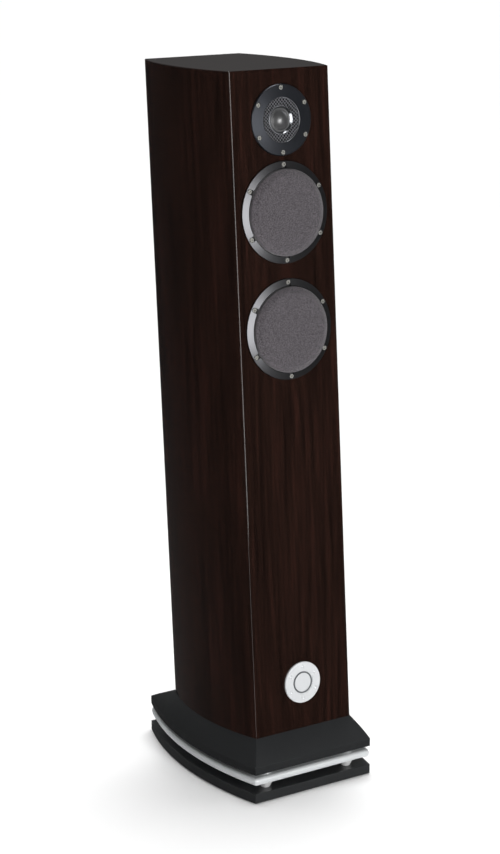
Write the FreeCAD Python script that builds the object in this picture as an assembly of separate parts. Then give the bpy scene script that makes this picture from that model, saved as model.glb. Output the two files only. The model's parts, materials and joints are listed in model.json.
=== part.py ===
import FreeCAD, Part
import math
import os

# Floorstanding two-and-a-half-way loudspeaker. Millimetres and degrees.
# The row frame stands on the floor: +Z up, front towards -Y, origin under the centre of the plinth.
# Drivers, port and terminals are made in local frames whose +Z points straight out of their panel.

Vector = FreeCAD.Vector

# Cabinet: a plan outline with curved sides, carried up along a line that leans backwards.
cabinet_slope_length = 997.0
cabinet_lean = 4.2
cabinet_depth = 235.0
cabinet_front_width = 173.0
cabinet_rear_width = 170.0
cabinet_side_bulge = 21.0
cabinet_edge_round = 1.5
baffle_thickness = 28.0
side_thickness = 18.0
rear_thickness = 18.0
end_thickness = 18.0

# Places along the leaning panels: drops from the top edge, heights from the bottom edge.
tweeter_drop = 74.0
upper_woofer_drop = 208.5
lower_woofer_drop = 381.3
badge_height = 72.0
port_height = 330.0
terminal_height = 115.0
lower_brace_height = 224.0
middle_brace_height = 464.0

# Braces and wadding.
brace_thickness = 18.0
brace_rim = 22.0
brace_window_round = 12.0
wadding_thickness = 20.0
wadding_side_gap = 12.0
wadding_end_gap = 14.0

# Plinth stack, from the floor up.
plinth_depth = 343.0
plinth_front_width = 213.0
plinth_rear_width = 164.0
plinth_side_bulge = 28.0
plinth_front_step = 27.5
pad_stand = 1.0
pad_sink = 2.0
pad_radius = 15.0
base_plate_thickness = 15.0
cone_height = 12.0
middle_plate_thickness = 12.0
middle_plate_inset = 0.6
middle_plate_round = 5.0
puck_height = 6.5
skirt_edge_height = 12.0
skirt_slope_height = 33.5
skirt_crown = 2.0
skirt_edge_round = 1.0
plate_edge_round = 0.8
stack_foot_inset = 21.0
stack_foot_side_inset = 31.5
rear_foot_side_inset = 24.0
puck_radius = 8.5
cone_top_radius = 11.0
cone_bottom_radius = 7.0
cone_collar_height = 4.0
pad_shift = 30.0

# Plinth bolts, all alike.
bolt_shank_radius = 4.0
bolt_length = 50.0
bolt_head_radius = 6.5
bolt_head_height = 8.0
bolt_socket_radius = 3.0
bolt_socket_depth = 4.0
bolt_hole_clearance = 0.3
bolt_thread_clearance = 0.05
bolt_tip_room = 1.0
cabinet_bolt_side = 52.0
cabinet_bolt_inset = 46.0

# Wood screws that hold the drivers and the terminal plate.
screw_shank_radius = 1.9
screw_head_radius = 3.3
screw_head_height = 2.2
screw_socket_radius = 1.5
screw_socket_depth = 1.3
screw_length = 20.0
screw_hole_clearance = 0.3
screw_thread_clearance = 0.05
screw_tip_room = 1.0
screw_count = 6

# Woofer, 150 mm frame. Heights are measured from the face of the baffle, outwards.
woofer_frame_radius = 75.0
woofer_frame_bottom = -3.0
woofer_frame_edge = 2.4
woofer_frame_rise = 1.8
woofer_ring_width = 10.0
woofer_screw_circle = 140.4
woofer_seat_radius = 4.0
woofer_seat_level = 1.2
woofer_ledge_level = -1.0
woofer_ledge_inner_radius = 55.5
basket_top_radius = 63.5
basket_bottom_radius = 44.0
basket_wall = 2.8
basket_floor_level = -48.0
basket_floor_thickness = 2.5
basket_floor_hole_radius = 14.6
basket_window_width = 40.0
basket_low_window_width = 26.0
basket_window_rim = 4.0
spider_level = -36.3
spider_ledge_thickness = 2.2
spider_ledge_width = 5.0
tag_width = 10.0
tag_height = 3.5
tag_reach = 3.5

# Moving parts of the woofer.
surround_thickness = 0.7
surround_roll_radius = 5.0
surround_lip_width = 3.5
surround_outer_radius = 61.0
cone_thickness = 0.9
cone_lip_width = 2.8
cone_neck_level = -26.0
dust_cap_radius = 17.0
dust_cap_rise = 5.0
dust_cap_thickness = 0.6
coil_radius = 13.3
coil_former_thickness = 0.3
coil_winding_thickness = 0.5
coil_winding_length = 16.0
magnet_gap_clearance = 0.5
spider_thickness = 0.5
spider_fold_count = 9
spider_fold_height = 1.2

# Woofer motor.
top_plate_radius = 40.0
top_plate_thickness = 6.0
magnet_radius = 45.0
magnet_bore_radius = 20.0
magnet_thickness = 18.0
back_plate_thickness = 6.0
pole_vent_radius = 4.0

# Woofer grille: a cloth-covered cap that pushes into the frame.
grille_gap = 1.0
grille_front_level = 14.5
grille_shoulder_level = 9.0
grille_front_radius = 55.0
grille_cloth_thickness = 0.5
grille_frame_wall = 1.9
grille_rib_width = 3.0
grille_rib_inner_radius = 29.0
grille_hub_radius = 9.0
body_clearance = 0.4
skin_clearance = 0.05

# Tweeter, 104 mm faceplate with a 28 mm dome.
tweeter_plate_radius = 52.0
tweeter_plate_bottom = -2.0
tweeter_plate_top = 3.0
tweeter_plate_chamfer = 1.0
tweeter_screw_circle = 93.6
tweeter_seat_radius = 3.9
tweeter_seat_level = 1.0
tweeter_recess_radius = 33.0
tweeter_recess_floor = -0.6
tweeter_lip_radius = 20.4
tweeter_lip_width = 0.8
tweeter_lip_top = 1.2
tweeter_boss_radius = 34.0
tweeter_boss_bottom = -4.5
tweeter_mesh_thickness = 0.5
tweeter_mesh_rise = 1.2
dome_radius = 14.0
dome_rise = 6.0
dome_thickness = 0.3
dome_level = -1.6
dome_coil_length = 6.0
dome_roll_radius = 1.1
dome_surround_lip = 1.0
tweeter_top_plate_radius = 30.0
tweeter_top_plate_thickness = 3.0
tweeter_magnet_radius = 33.0
tweeter_magnet_bore_radius = 20.0
tweeter_magnet_thickness = 10.0
tweeter_back_plate_thickness = 3.0
tweeter_vent_radius = 3.0
rear_cup_radius = 22.0
rear_cup_depth = 18.0
rear_cup_wall = 1.5
rear_cup_round = 3.0

# Fits of the drivers in the baffle.
rebate_clearance = 0.4
cutout_clearance = 1.0
woofer_gasket_thickness = 1.0
tweeter_gasket_thickness = 0.5

# Badge near the foot of the baffle.
badge_radius = 32.0
badge_thickness = 2.6
badge_edge_round = 0.8
badge_dimple_circle = 51.0
badge_dimple_radius = 3.0
badge_dimple_depth = 1.2
badge_dish_radius = 18.5
badge_dish_depth = 0.8
badge_ring_radius = 16.8
badge_ring_width = 2.0

# Reflex port.
port_bore_radius = 27.5
port_wall = 3.0
port_length = 118.0
port_flange_radius = 44.0
port_flange_thickness = 4.0
port_flange_proud = 1.0
port_mouth_radius = 40.0
port_flare_depth = 20.0
port_collar_radius = 36.0
port_flare_share = 0.3

# Terminals. The 19.05 mm spacing and the 4 mm sockets are the standard plug sizes.
terminal_plate_width = 96.0
terminal_plate_height = 64.0
terminal_plate_thickness = 3.0
terminal_plate_round = 8.0
terminal_gasket_thickness = 1.0
terminal_gasket_inset = 1.0
terminal_gasket_width = 13.0
terminal_cutout_width = 60.0
terminal_cutout_height = 36.0
terminal_screw_inset = 8.0
terminal_screw_length = 14.0
post_spacing = 19.05
post_radius = 4.0
post_reach = 26.0
post_tail = 19.0
post_hole_clearance = 0.3
post_collar_radius = 8.4
post_collar_height = 3.0
post_nut_width = 13.0
post_nut_height = 5.0
socket_radius = 2.0
socket_depth = 18.0
washer_radius = 8.4
washer_thickness = 1.4
knob_radius = 8.6
knob_length = 18.0
knob_flute_count = 12
knob_flute_radius = 1.0
thread_clearance = 0.08
stack_clearance = 0.35

# Crossover network on the cabinet floor.
board_width = 100.0
board_length = 130.0
board_thickness = 2.0
board_forward = 5.5
board_stand = 6.0
board_spacer_radius = 4.0
board_spacer_inset = 8.0
inductor_radius = 20.0
inductor_bore_radius = 8.0
inductor_height = 16.0
capacitor_radius = 9.0
capacitor_length = 36.0
resistor_length = 42.0
resistor_width = 10.0
resistor_height = 9.0
resistor_pitch = 14.0
lead_radius = 2.0
lead_inset = 7.0
lead_motor_gap = 17.5
lead_port_gap = 18.0
lead_set_back = 36.0
lead_drop = 45.0
lead_board_reach = 74.0

# Worked out from the values above.
lean_angle = math.radians(cabinet_lean)
up_slope = Vector(0, math.sin(lean_angle), math.cos(lean_angle))
front_normal = Vector(0, -math.cos(lean_angle), math.sin(lean_angle))
base_plate_top = pad_stand + base_plate_thickness
middle_plate_bottom = base_plate_top + cone_height
middle_plate_top = middle_plate_bottom + middle_plate_thickness
skirt_bottom = middle_plate_top + puck_height
skirt_edge_top = skirt_bottom + skirt_edge_height
cabinet_floor = skirt_edge_top + skirt_slope_height
cabinet_top = cabinet_floor + cabinet_slope_length * math.cos(lean_angle)
plinth_front = -plinth_depth / 2
baffle_foot = plinth_front + plinth_front_step
tweeter_height = cabinet_slope_length - tweeter_drop
upper_woofer_height = cabinet_slope_length - upper_woofer_drop
lower_woofer_height = cabinet_slope_length - lower_woofer_drop
upper_brace_height = (upper_woofer_height + lower_woofer_height) / 2
woofer_inner_radius = woofer_frame_radius - woofer_ring_width
woofer_frame_top = woofer_frame_edge + woofer_frame_rise
basket_floor_bottom = basket_floor_level - basket_floor_thickness
woofer_cutout_radius = basket_top_radius + cutout_clearance
tweeter_cutout_radius = tweeter_boss_radius + 2 * cutout_clearance
grille_radius = woofer_inner_radius - grille_gap
surround_centre = surround_outer_radius - surround_lip_width - surround_roll_radius
cone_radius = surround_centre - surround_roll_radius
terminal_plate_bottom = terminal_gasket_thickness
terminal_plate_top = terminal_plate_bottom + terminal_plate_thickness
washer_bottom = terminal_plate_top + post_collar_height + stack_clearance
knob_bottom = washer_bottom + washer_thickness + stack_clearance
thread_bore_radius = post_radius + thread_clearance
board_bottom = cabinet_floor + end_thickness + board_stand
board_top = board_bottom + board_thickness


def save(name, shape):
    shape.exportStep("parts/" + name + ".step")


def placed(shape, placement):
    copy = shape.copy()
    copy.Placement = placement.multiply(copy.Placement)
    return copy


def on_front(height):
    """Local frame on the baffle: X to the right, Y up the slope, Z straight out."""
    turn = FreeCAD.Rotation(Vector(1, 0, 0), up_slope, front_normal, "ZXY")
    return FreeCAD.Placement(Vector(0, baffle_foot, cabinet_floor) + up_slope * height, turn)


def on_rear(height):
    """Local frame on the rear panel: Y up the slope, Z straight out of the back."""
    turn = FreeCAD.Rotation(Vector(-1, 0, 0), up_slope, -front_normal, "ZXY")
    foot = Vector(0, baffle_foot + cabinet_depth, cabinet_floor)
    return FreeCAD.Placement(foot + up_slope * height, turn)


def tube(inner_radius, outer_radius, bottom, top):
    outer = Part.makeCylinder(outer_radius, top - bottom, Vector(0, 0, bottom))
    return outer.cut(Part.makeCylinder(inner_radius, top - bottom, Vector(0, 0, bottom)))


def turned(points):
    """Solid of revolution about Z from a closed outline of (radius, height) points."""
    corners = [Vector(radius, 0, height) for radius, height in points]
    outline = Part.makePolygon(corners + corners[:1])
    return Part.Face(outline).revolve(Vector(0, 0, 0), Vector(0, 0, 1), 360)


def turned_edges(edges):
    outline = Part.Wire(Part.__sortEdges__(edges))
    return Part.Face(outline).revolve(Vector(0, 0, 0), Vector(0, 0, 1), 360)


def arc_edge(start, middle, end):
    ends = [Vector(radius, 0, height) for radius, height in (start, middle, end)]
    return Part.Arc(*ends).toShape()


def line_edge(start, end):
    return Part.makeLine(Vector(start[0], 0, start[1]), Vector(end[0], 0, end[1]))


def dome_shell(radius, rise, thickness, level):
    """Thin spherical cap standing on its rim at the given level."""
    def cap(rim, height):
        sphere_radius = (rim ** 2 + height ** 2) / (2 * height)
        half_turn = math.asin(rim / sphere_radius) / 2
        middle = (sphere_radius * math.sin(half_turn),
                  level + height - sphere_radius * (1 - math.cos(half_turn)))
        return arc_edge((rim, level), middle, (0, level + height))
    outer = cap(radius, rise)
    inner = cap(radius - thickness, rise - thickness)
    rim = line_edge((radius - thickness, level), (radius, level))
    crown = line_edge((0, level + rise - thickness), (0, level + rise))
    return turned_edges([outer, crown, inner, rim])


def rolled_edge(centre_radius, level, roll_radius, thickness):
    """Half-roll of a surround, open towards the back."""
    def half_circle(radius):
        return arc_edge((centre_radius - radius, level), (centre_radius, level + radius),
                        (centre_radius + radius, level))
    outer_radius = roll_radius + thickness / 2
    inner_radius = roll_radius - thickness / 2
    left = line_edge((centre_radius - outer_radius, level), (centre_radius - inner_radius, level))
    right = line_edge((centre_radius + inner_radius, level), (centre_radius + outer_radius, level))
    return turned_edges([half_circle(outer_radius), right, half_circle(inner_radius), left])


def circle_places(circle_diameter, count=screw_count):
    """Places on a circle, the first at the top."""
    radius = circle_diameter / 2
    angles = [math.pi / 2 + 2 * math.pi * step / count for step in range(count)]
    return [(radius * math.cos(angle), radius * math.sin(angle)) for angle in angles]


def holes(places, radius, bottom, top):
    return [Part.makeCylinder(radius, top - bottom, Vector(x, y, bottom)) for x, y in places]


def screw(seat_level, length, x, y):
    """Pan-head screw with a hexagon socket, seated at the given level."""
    head = Part.makeCylinder(screw_head_radius, screw_head_height, Vector(x, y, seat_level))
    shank = Part.makeCylinder(screw_shank_radius, length, Vector(x, y, seat_level - length))
    head_top = seat_level + screw_head_height
    socket = hexagon(2 * screw_socket_radius, screw_socket_depth, x, y, head_top - screw_socket_depth)
    return head.fuse(shank).cut(socket).removeSplitter()


def screw_pilots(places, seat_level, length):
    radius = screw_shank_radius + screw_thread_clearance
    return holes(places, radius, seat_level - length - screw_tip_room, 0)


def hexagon(width_across_corners, height, x, y, bottom):
    radius = width_across_corners / 2
    angles = [math.radians(60 * corner) for corner in range(6)]
    corners = [Vector(x + radius * math.cos(a), y + radius * math.sin(a), bottom) for a in angles]
    outline = Part.makePolygon(corners + corners[:1])
    return Part.Face(outline).extrude(Vector(0, 0, height))


def rounded_box(width, height, corner_radius, bottom, top):
    box = Part.makeBox(width, height, top - bottom, Vector(-width / 2, -height / 2, bottom))
    uprights = [edge for edge in box.Edges if edge.BoundBox.ZLength > (top - bottom) / 2]
    return box.makeFillet(corner_radius, uprights)


def plan_outline(front, depth, front_width, rear_width, bulge, level):
    """Closed plan outline: straight front and rear, sides that are outward arcs."""
    right_front = Vector(front_width / 2, front, level)
    right_rear = Vector(rear_width / 2, front + depth, level)
    side = right_rear - right_front
    outward = Vector(side.y, -side.x, 0).normalize()
    right_middle = (right_front + right_rear) / 2 + outward * bulge

    def mirrored(point):
        return Vector(-point.x, point.y, point.z)

    edges = [
        Part.makeLine(mirrored(right_front), right_front),
        Part.Arc(right_front, right_middle, right_rear).toShape(),
        Part.makeLine(right_rear, mirrored(right_rear)),
        Part.Arc(mirrored(right_rear), mirrored(right_middle), mirrored(right_front)).toShape(),
    ]
    return Part.Wire(edges)


def leaning_prism(outline):
    return Part.Face(outline).extrude(up_slope * cabinet_slope_length)


def cabinet_body():
    """The whole outer block of the cabinet, with its rounded edges."""
    outline = plan_outline(baffle_foot, cabinet_depth, cabinet_front_width, cabinet_rear_width,
                           cabinet_side_bulge, cabinet_floor)
    block = leaning_prism(outline)
    rounded = [edge for edge in block.Edges if edge.BoundBox.ZMax > cabinet_floor + end_thickness]
    return block.makeFillet(cabinet_edge_round, rounded)


def cabinet_inside():
    """The block between the side panels, from baffle to rear panel."""
    outline = plan_outline(baffle_foot, cabinet_depth, cabinet_front_width - 2 * side_thickness,
                           cabinet_rear_width - 2 * side_thickness, cabinet_side_bulge, cabinet_floor)
    return leaning_prism(outline)


def leaning_slab(front, rear):
    """Everything between two planes parallel to the baffle, given as plan distances behind it."""
    reach = cabinet_front_width
    slab_front = baffle_foot + front
    corners = [Vector(-reach, slab_front, cabinet_floor), Vector(reach, slab_front, cabinet_floor),
               Vector(reach, baffle_foot + rear, cabinet_floor),
               Vector(-reach, baffle_foot + rear, cabinet_floor)]
    return leaning_prism(Part.makePolygon(corners + corners[:1]))


def level_slab(bottom, top):
    reach = plinth_depth
    return Part.makeBox(2 * reach, 2 * reach, top - bottom, Vector(-reach, -reach, bottom))


def half_space(side):
    """Everything left (-1) or right (+1) of the middle plane."""
    reach = plinth_depth
    low_x = -reach if side < 0 else 0
    return Part.makeBox(reach, 2 * reach, 2 * cabinet_top, Vector(low_x, -reach, 0))


def woofer_openings():
    """What one woofer takes out of the baffle."""
    rebate_floor = woofer_frame_bottom - woofer_gasket_thickness
    rebate = Part.makeCylinder(woofer_frame_radius + rebate_clearance,
                               baffle_thickness, Vector(0, 0, rebate_floor))
    cutout = Part.makeCylinder(woofer_cutout_radius, 2 * baffle_thickness,
                               Vector(0, 0, -baffle_thickness - rebate_clearance))
    pilots = screw_pilots(circle_places(woofer_screw_circle), woofer_seat_level, screw_length)
    return [rebate, cutout] + pilots


def tweeter_openings():
    rebate_floor = tweeter_plate_bottom - tweeter_gasket_thickness
    rebate = Part.makeCylinder(tweeter_plate_radius + rebate_clearance,
                               baffle_thickness, Vector(0, 0, rebate_floor))
    cutout = Part.makeCylinder(tweeter_cutout_radius, 2 * baffle_thickness,
                               Vector(0, 0, -baffle_thickness - rebate_clearance))
    pilots = screw_pilots(circle_places(tweeter_screw_circle), tweeter_seat_level, screw_length)
    return [rebate, cutout] + pilots


def front_baffle(body):
    panel = body.common(leaning_slab(-baffle_thickness, baffle_thickness))
    cuts = [placed(cut, on_front(upper_woofer_height)) for cut in woofer_openings()]
    cuts += [placed(cut, on_front(lower_woofer_height)) for cut in woofer_openings()]
    cuts += [placed(cut, on_front(tweeter_height)) for cut in tweeter_openings()]
    return panel.cut(cuts)


def terminal_screw_places():
    x = terminal_plate_width / 2 - terminal_screw_inset
    y = terminal_plate_height / 2 - terminal_screw_inset
    return [(-x, -y), (x, -y), (x, y), (-x, y)]


def rear_panel(body):
    panel = body.common(leaning_slab(cabinet_depth - rear_thickness, cabinet_depth + rear_thickness))
    rebate_floor = port_flange_proud - port_flange_thickness
    rebate = Part.makeCylinder(port_flange_radius + rebate_clearance,
                               2 * rear_thickness, Vector(0, 0, rebate_floor))
    port_hole = Part.makeCylinder(port_collar_radius + rebate_clearance,
                                  4 * rear_thickness, Vector(0, 0, -2 * rear_thickness))
    window = rounded_box(terminal_cutout_width, terminal_cutout_height, screw_head_radius,
                         -2 * rear_thickness, 2 * rear_thickness)
    pilots = screw_pilots(terminal_screw_places(), terminal_plate_top, terminal_screw_length)
    cuts = [placed(cut, on_rear(port_height)) for cut in (rebate, port_hole)]
    cuts += [placed(cut, on_rear(terminal_height)) for cut in [window] + pilots]
    return panel.cut(cuts)


def between_front_and_rear(body):
    return body.common(leaning_slab(baffle_thickness, cabinet_depth - rear_thickness))


def side_panel(body, side):
    return between_front_and_rear(body).cut(cabinet_inside()).common(half_space(side))


def top_panel(body):
    core = between_front_and_rear(body).common(cabinet_inside())
    return core.common(level_slab(cabinet_top - end_thickness, cabinet_top + end_thickness))


def cabinet_bolt_places():
    front = baffle_foot + cabinet_bolt_inset
    rear = baffle_foot + cabinet_depth - cabinet_bolt_inset
    return [(side * cabinet_bolt_side, y) for y in (front, rear) for side in (-1, 1)]


def cabinet_bolt_seat():
    return skirt_bottom + bolt_head_height


def bottom_panel(body):
    core = between_front_and_rear(body).common(cabinet_inside())
    panel = core.common(level_slab(cabinet_floor - end_thickness, cabinet_floor + end_thickness))
    tip = cabinet_bolt_seat() + bolt_length + bolt_tip_room / 2
    sockets = holes(cabinet_bolt_places(), bolt_shank_radius + bolt_thread_clearance,
                    cabinet_floor - end_thickness, tip)
    return panel.cut(sockets)


def brace_window():
    front = baffle_foot + baffle_thickness + brace_rim
    depth = cabinet_depth - baffle_thickness - rear_thickness - 2 * brace_rim
    width = cabinet_front_width - 2 * side_thickness - brace_rim
    window = leaning_prism(plan_outline(front, depth, width, width, cabinet_side_bulge / 2, cabinet_floor))
    uprights = [edge for edge in window.Edges if edge.BoundBox.ZLength > cabinet_slope_length / 2]
    return window.makeFillet(brace_window_round, uprights)


def window_braces(body):
    core = between_front_and_rear(body).common(cabinet_inside()).cut(brace_window())
    braces = []
    for height in (lower_brace_height, middle_brace_height, upper_brace_height):
        middle = cabinet_floor + height * math.cos(lean_angle)
        braces.append(core.common(level_slab(middle - brace_thickness / 2, middle + brace_thickness / 2)))
    return Part.makeCompound(braces)


def damping_wadding():
    """Soft pads on the inside of the rear panel, one in each of the two upper chambers."""
    width = cabinet_rear_width - 2 * side_thickness - wadding_side_gap
    room = brace_thickness / 2 + wadding_end_gap
    pads = []
    for low, high in ((middle_brace_height, upper_brace_height),
                      (upper_brace_height, cabinet_slope_length - end_thickness)):
        bottom = low + room
        length = high - room - bottom
        pad = Part.makeBox(width, length, wadding_thickness, Vector(-width / 2, 0, 0))
        pad.translate(Vector(0, 0, -rear_thickness - wadding_thickness))
        pads.append(placed(pad, on_rear(bottom)))
    return Part.makeCompound(pads)


def foot_places():
    """Where the cones, the pucks and the long bolts stand, front pair first."""
    front = plinth_front + stack_foot_inset
    rear = plinth_front + plinth_depth - stack_foot_inset
    front_x = plinth_front_width / 2 - stack_foot_side_inset
    rear_x = plinth_rear_width / 2 - rear_foot_side_inset
    return [(-front_x, front), (front_x, front), (-rear_x, rear), (rear_x, rear)]


def pad_places():
    return [(x, y - math.copysign(pad_shift, y)) for x, y in foot_places()]


def plinth_outline(inset, level):
    return plan_outline(plinth_front + inset, plinth_depth - 2 * inset, plinth_front_width - 2 * inset,
                        plinth_rear_width - 2 * inset, plinth_side_bulge, level)


def plinth_plate(inset, bottom, thickness, edge_round):
    plate = Part.Face(plinth_outline(inset, bottom)).extrude(Vector(0, 0, thickness))
    return plate.makeFillet(edge_round, plate.Edges)


def plinth_skirt():
    """Block whose slightly crowned slopes run from the foot of the cabinet to the edge of the plinth."""
    top = plan_outline(baffle_foot, cabinet_depth, cabinet_front_width, cabinet_rear_width,
                       cabinet_side_bulge, cabinet_floor)
    halfway = plan_outline((plinth_front + baffle_foot) / 2, (plinth_depth + cabinet_depth) / 2,
                           (plinth_front_width + cabinet_front_width) / 2,
                           (plinth_rear_width + cabinet_rear_width) / 2,
                           (plinth_side_bulge + cabinet_side_bulge) / 2,
                           (skirt_edge_top + cabinet_floor) / 2 + skirt_crown)
    slope = Part.makeLoft([plinth_outline(0, skirt_edge_top), halfway, top], True, False)
    edge = Part.Face(plinth_outline(0, skirt_bottom)).extrude(Vector(0, 0, skirt_edge_height))
    block = edge.fuse(slope).removeSplitter()
    lowest_rounded = skirt_bottom + skirt_edge_round
    highest_rounded = cabinet_floor - skirt_edge_round
    block = block.makeFillet(skirt_edge_round, [
        line for line in block.Edges if lowest_rounded < line.BoundBox.Center.z < highest_rounded])
    thread_radius = bolt_shank_radius + bolt_thread_clearance
    tip = base_plate_seat() + bolt_length + bolt_tip_room
    cuts = holes(foot_places(), thread_radius, skirt_bottom, tip)
    cuts += holes(cabinet_bolt_places(), bolt_shank_radius + bolt_hole_clearance,
                  skirt_bottom, cabinet_floor)
    cuts += holes(cabinet_bolt_places(), bolt_head_radius + bolt_hole_clearance,
                  skirt_bottom, cabinet_bolt_seat())
    return block.cut(cuts)


def base_plate_seat():
    return pad_stand + bolt_head_height


def base_plate():
    plate = plinth_plate(0, pad_stand, base_plate_thickness, plate_edge_round)
    cuts = holes(foot_places(), bolt_shank_radius + bolt_hole_clearance, 0, base_plate_top)
    cuts += holes(foot_places(), bolt_head_radius + bolt_hole_clearance, 0, base_plate_seat())
    cuts += holes(pad_places(), pad_radius + screw_hole_clearance, 0, pad_stand + pad_sink)
    return plate.cut(cuts)


def middle_plate():
    plate = plinth_plate(middle_plate_inset, middle_plate_bottom, middle_plate_thickness, middle_plate_round)
    cuts = holes(foot_places(), bolt_shank_radius + bolt_hole_clearance,
                 middle_plate_bottom, middle_plate_top)
    return plate.cut(cuts)


def floor_pads():
    return Part.makeCompound(holes(pad_places(), pad_radius, 0, pad_stand + pad_sink))


def isolation_pucks():
    bore = bolt_shank_radius + bolt_hole_clearance
    puck = tube(bore, puck_radius, middle_plate_top, skirt_bottom)
    return Part.makeCompound([puck.translated(Vector(x, y, 0)) for x, y in foot_places()])


def isolation_cones():
    bore = bolt_shank_radius + bolt_hole_clearance
    collar_bottom = middle_plate_bottom - cone_collar_height
    cone = turned([(bore, base_plate_top), (cone_bottom_radius, base_plate_top),
                   (cone_top_radius, collar_bottom), (cone_top_radius, middle_plate_bottom),
                   (bore, middle_plate_bottom)])
    return Part.makeCompound([cone.translated(Vector(x, y, 0)) for x, y in foot_places()])


def bolt(x, y, seat):
    """Socket bolt put in from below, with its head under the seat."""
    head = Part.makeCylinder(bolt_head_radius, bolt_head_height, Vector(x, y, seat - bolt_head_height))
    shank = Part.makeCylinder(bolt_shank_radius, bolt_length, Vector(x, y, seat))
    socket = hexagon(2 * bolt_socket_radius, bolt_socket_depth, x, y, seat - bolt_head_height)
    return head.fuse(shank).cut(socket).removeSplitter()


def plinth_bolts():
    bolts = [bolt(x, y, base_plate_seat()) for x, y in foot_places()]
    bolts += [bolt(x, y, cabinet_bolt_seat()) for x, y in cabinet_bolt_places()]
    return Part.makeCompound(bolts)


def basket_radius(level):
    """Outer radius of the basket's cone at a level."""
    share = (woofer_frame_bottom - level) / (woofer_frame_bottom - basket_floor_level)
    return basket_top_radius + share * (basket_bottom_radius - basket_top_radius)


def radial_window(width, inner, outer, bottom, top, step):
    window = Part.makeBox(outer - inner, width, top - bottom, Vector(inner, -width / 2, bottom))
    window.rotate(Vector(0, 0, 0), Vector(0, 0, 1), 60 * step)
    return window


def woofer_basket():
    """Cast frame: bevelled ring, surround ledge, six legs, spider ledge and floor."""
    floor = basket_floor_level
    shell = turned([
        (woofer_frame_radius, woofer_frame_bottom), (woofer_frame_radius, woofer_frame_edge),
        (woofer_inner_radius, woofer_frame_top), (woofer_inner_radius, woofer_ledge_level),
        (woofer_ledge_inner_radius, woofer_ledge_level), (woofer_ledge_inner_radius, woofer_frame_bottom),
        (basket_top_radius - basket_wall, woofer_frame_bottom), (basket_bottom_radius - basket_wall, floor),
        (basket_floor_hole_radius, floor), (basket_floor_hole_radius, basket_floor_bottom),
        (basket_bottom_radius, basket_floor_bottom), (basket_bottom_radius, floor),
        (basket_top_radius, woofer_frame_bottom)])
    ledge_outer = basket_radius(spider_level) - basket_wall / 2
    ledge_bottom = spider_level - spider_ledge_thickness
    ledge_inner = basket_radius(spider_level) - basket_wall - spider_ledge_width
    ledge = tube(ledge_inner, ledge_outer, ledge_bottom, spider_level)
    tag = Part.makeBox(basket_wall + tag_reach, tag_width, tag_height,
                       Vector(basket_bottom_radius - basket_wall, -tag_width / 2, basket_floor_bottom))
    reach = woofer_frame_radius
    windows = []
    for step in range(screw_count):
        windows.append(radial_window(basket_window_width, ledge_inner, reach,
                                     spider_level + basket_window_rim,
                                     woofer_frame_bottom - basket_window_rim, step))
        windows.append(radial_window(basket_low_window_width, basket_bottom_radius - 2 * basket_wall, reach,
                                     floor + basket_wall / 2, ledge_bottom - basket_wall / 2, step))
    seats = []
    for x, y in circle_places(woofer_screw_circle):
        seat_top = woofer_frame_top + woofer_frame_rise
        seat_height = seat_top - woofer_seat_level
        seat = Part.makeCylinder(woofer_seat_radius, seat_height, Vector(x, y, woofer_seat_level))
        slot = Part.makeBox(woofer_ring_width, 2 * woofer_seat_radius, seat_height,
                            Vector(-woofer_ring_width, -woofer_seat_radius, woofer_seat_level))
        slot.rotate(Vector(0, 0, 0), Vector(0, 0, 1), math.degrees(math.atan2(y, x)))
        slot.translate(Vector(x, y, 0))
        seats += [seat, slot]
    passages = holes(circle_places(woofer_screw_circle), screw_shank_radius + screw_hole_clearance,
                     woofer_frame_bottom, woofer_seat_level)
    return shell.cut(windows).fuse([ledge, tag]).cut(seats + passages).removeSplitter()


def woofer_surround():
    level = woofer_ledge_level
    top = level + surround_thickness
    middle = level + surround_thickness / 2
    roll = rolled_edge(surround_centre, middle, surround_roll_radius, surround_thickness)
    join = surround_roll_radius - surround_thickness / 2
    inner_lip = tube(cone_radius - surround_lip_width, surround_centre - join, level, top)
    outer_lip = tube(surround_centre + join, surround_outer_radius, level, top)
    return roll.fuse([inner_lip, outer_lip]).removeSplitter()


def woofer_cone():
    """Shallow paper cone with a flat lip under the surround and a neck on the coil former."""
    lip_inner = cone_radius - cone_lip_width
    top = woofer_ledge_level
    return turned([
        (coil_radius, cone_neck_level - cone_thickness),
        (coil_radius + cone_thickness, cone_neck_level - cone_thickness),
        (lip_inner + cone_thickness / 2, top - cone_thickness), (cone_radius, top - cone_thickness),
        (cone_radius, top), (lip_inner, top), (coil_radius, cone_neck_level)])


def woofer_dust_cap():
    lip_inner = cone_radius - cone_lip_width
    share = (dust_cap_radius - coil_radius) / (lip_inner - coil_radius)
    level = cone_neck_level + share * (woofer_ledge_level - cone_neck_level)
    return dome_shell(dust_cap_radius, dust_cap_rise, dust_cap_thickness, level)


def woofer_voice_coil():
    """Former with its winding centred on the top plate."""
    plate_middle = basket_floor_bottom - top_plate_thickness / 2
    winding_bottom = plate_middle - coil_winding_length / 2
    winding_top = plate_middle + coil_winding_length / 2
    inner = coil_radius - coil_former_thickness
    outer = coil_radius + coil_winding_thickness
    return turned([(inner, winding_bottom), (outer, winding_bottom), (outer, winding_top),
                   (coil_radius, winding_top), (coil_radius, cone_neck_level), (inner, cone_neck_level)])


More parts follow.
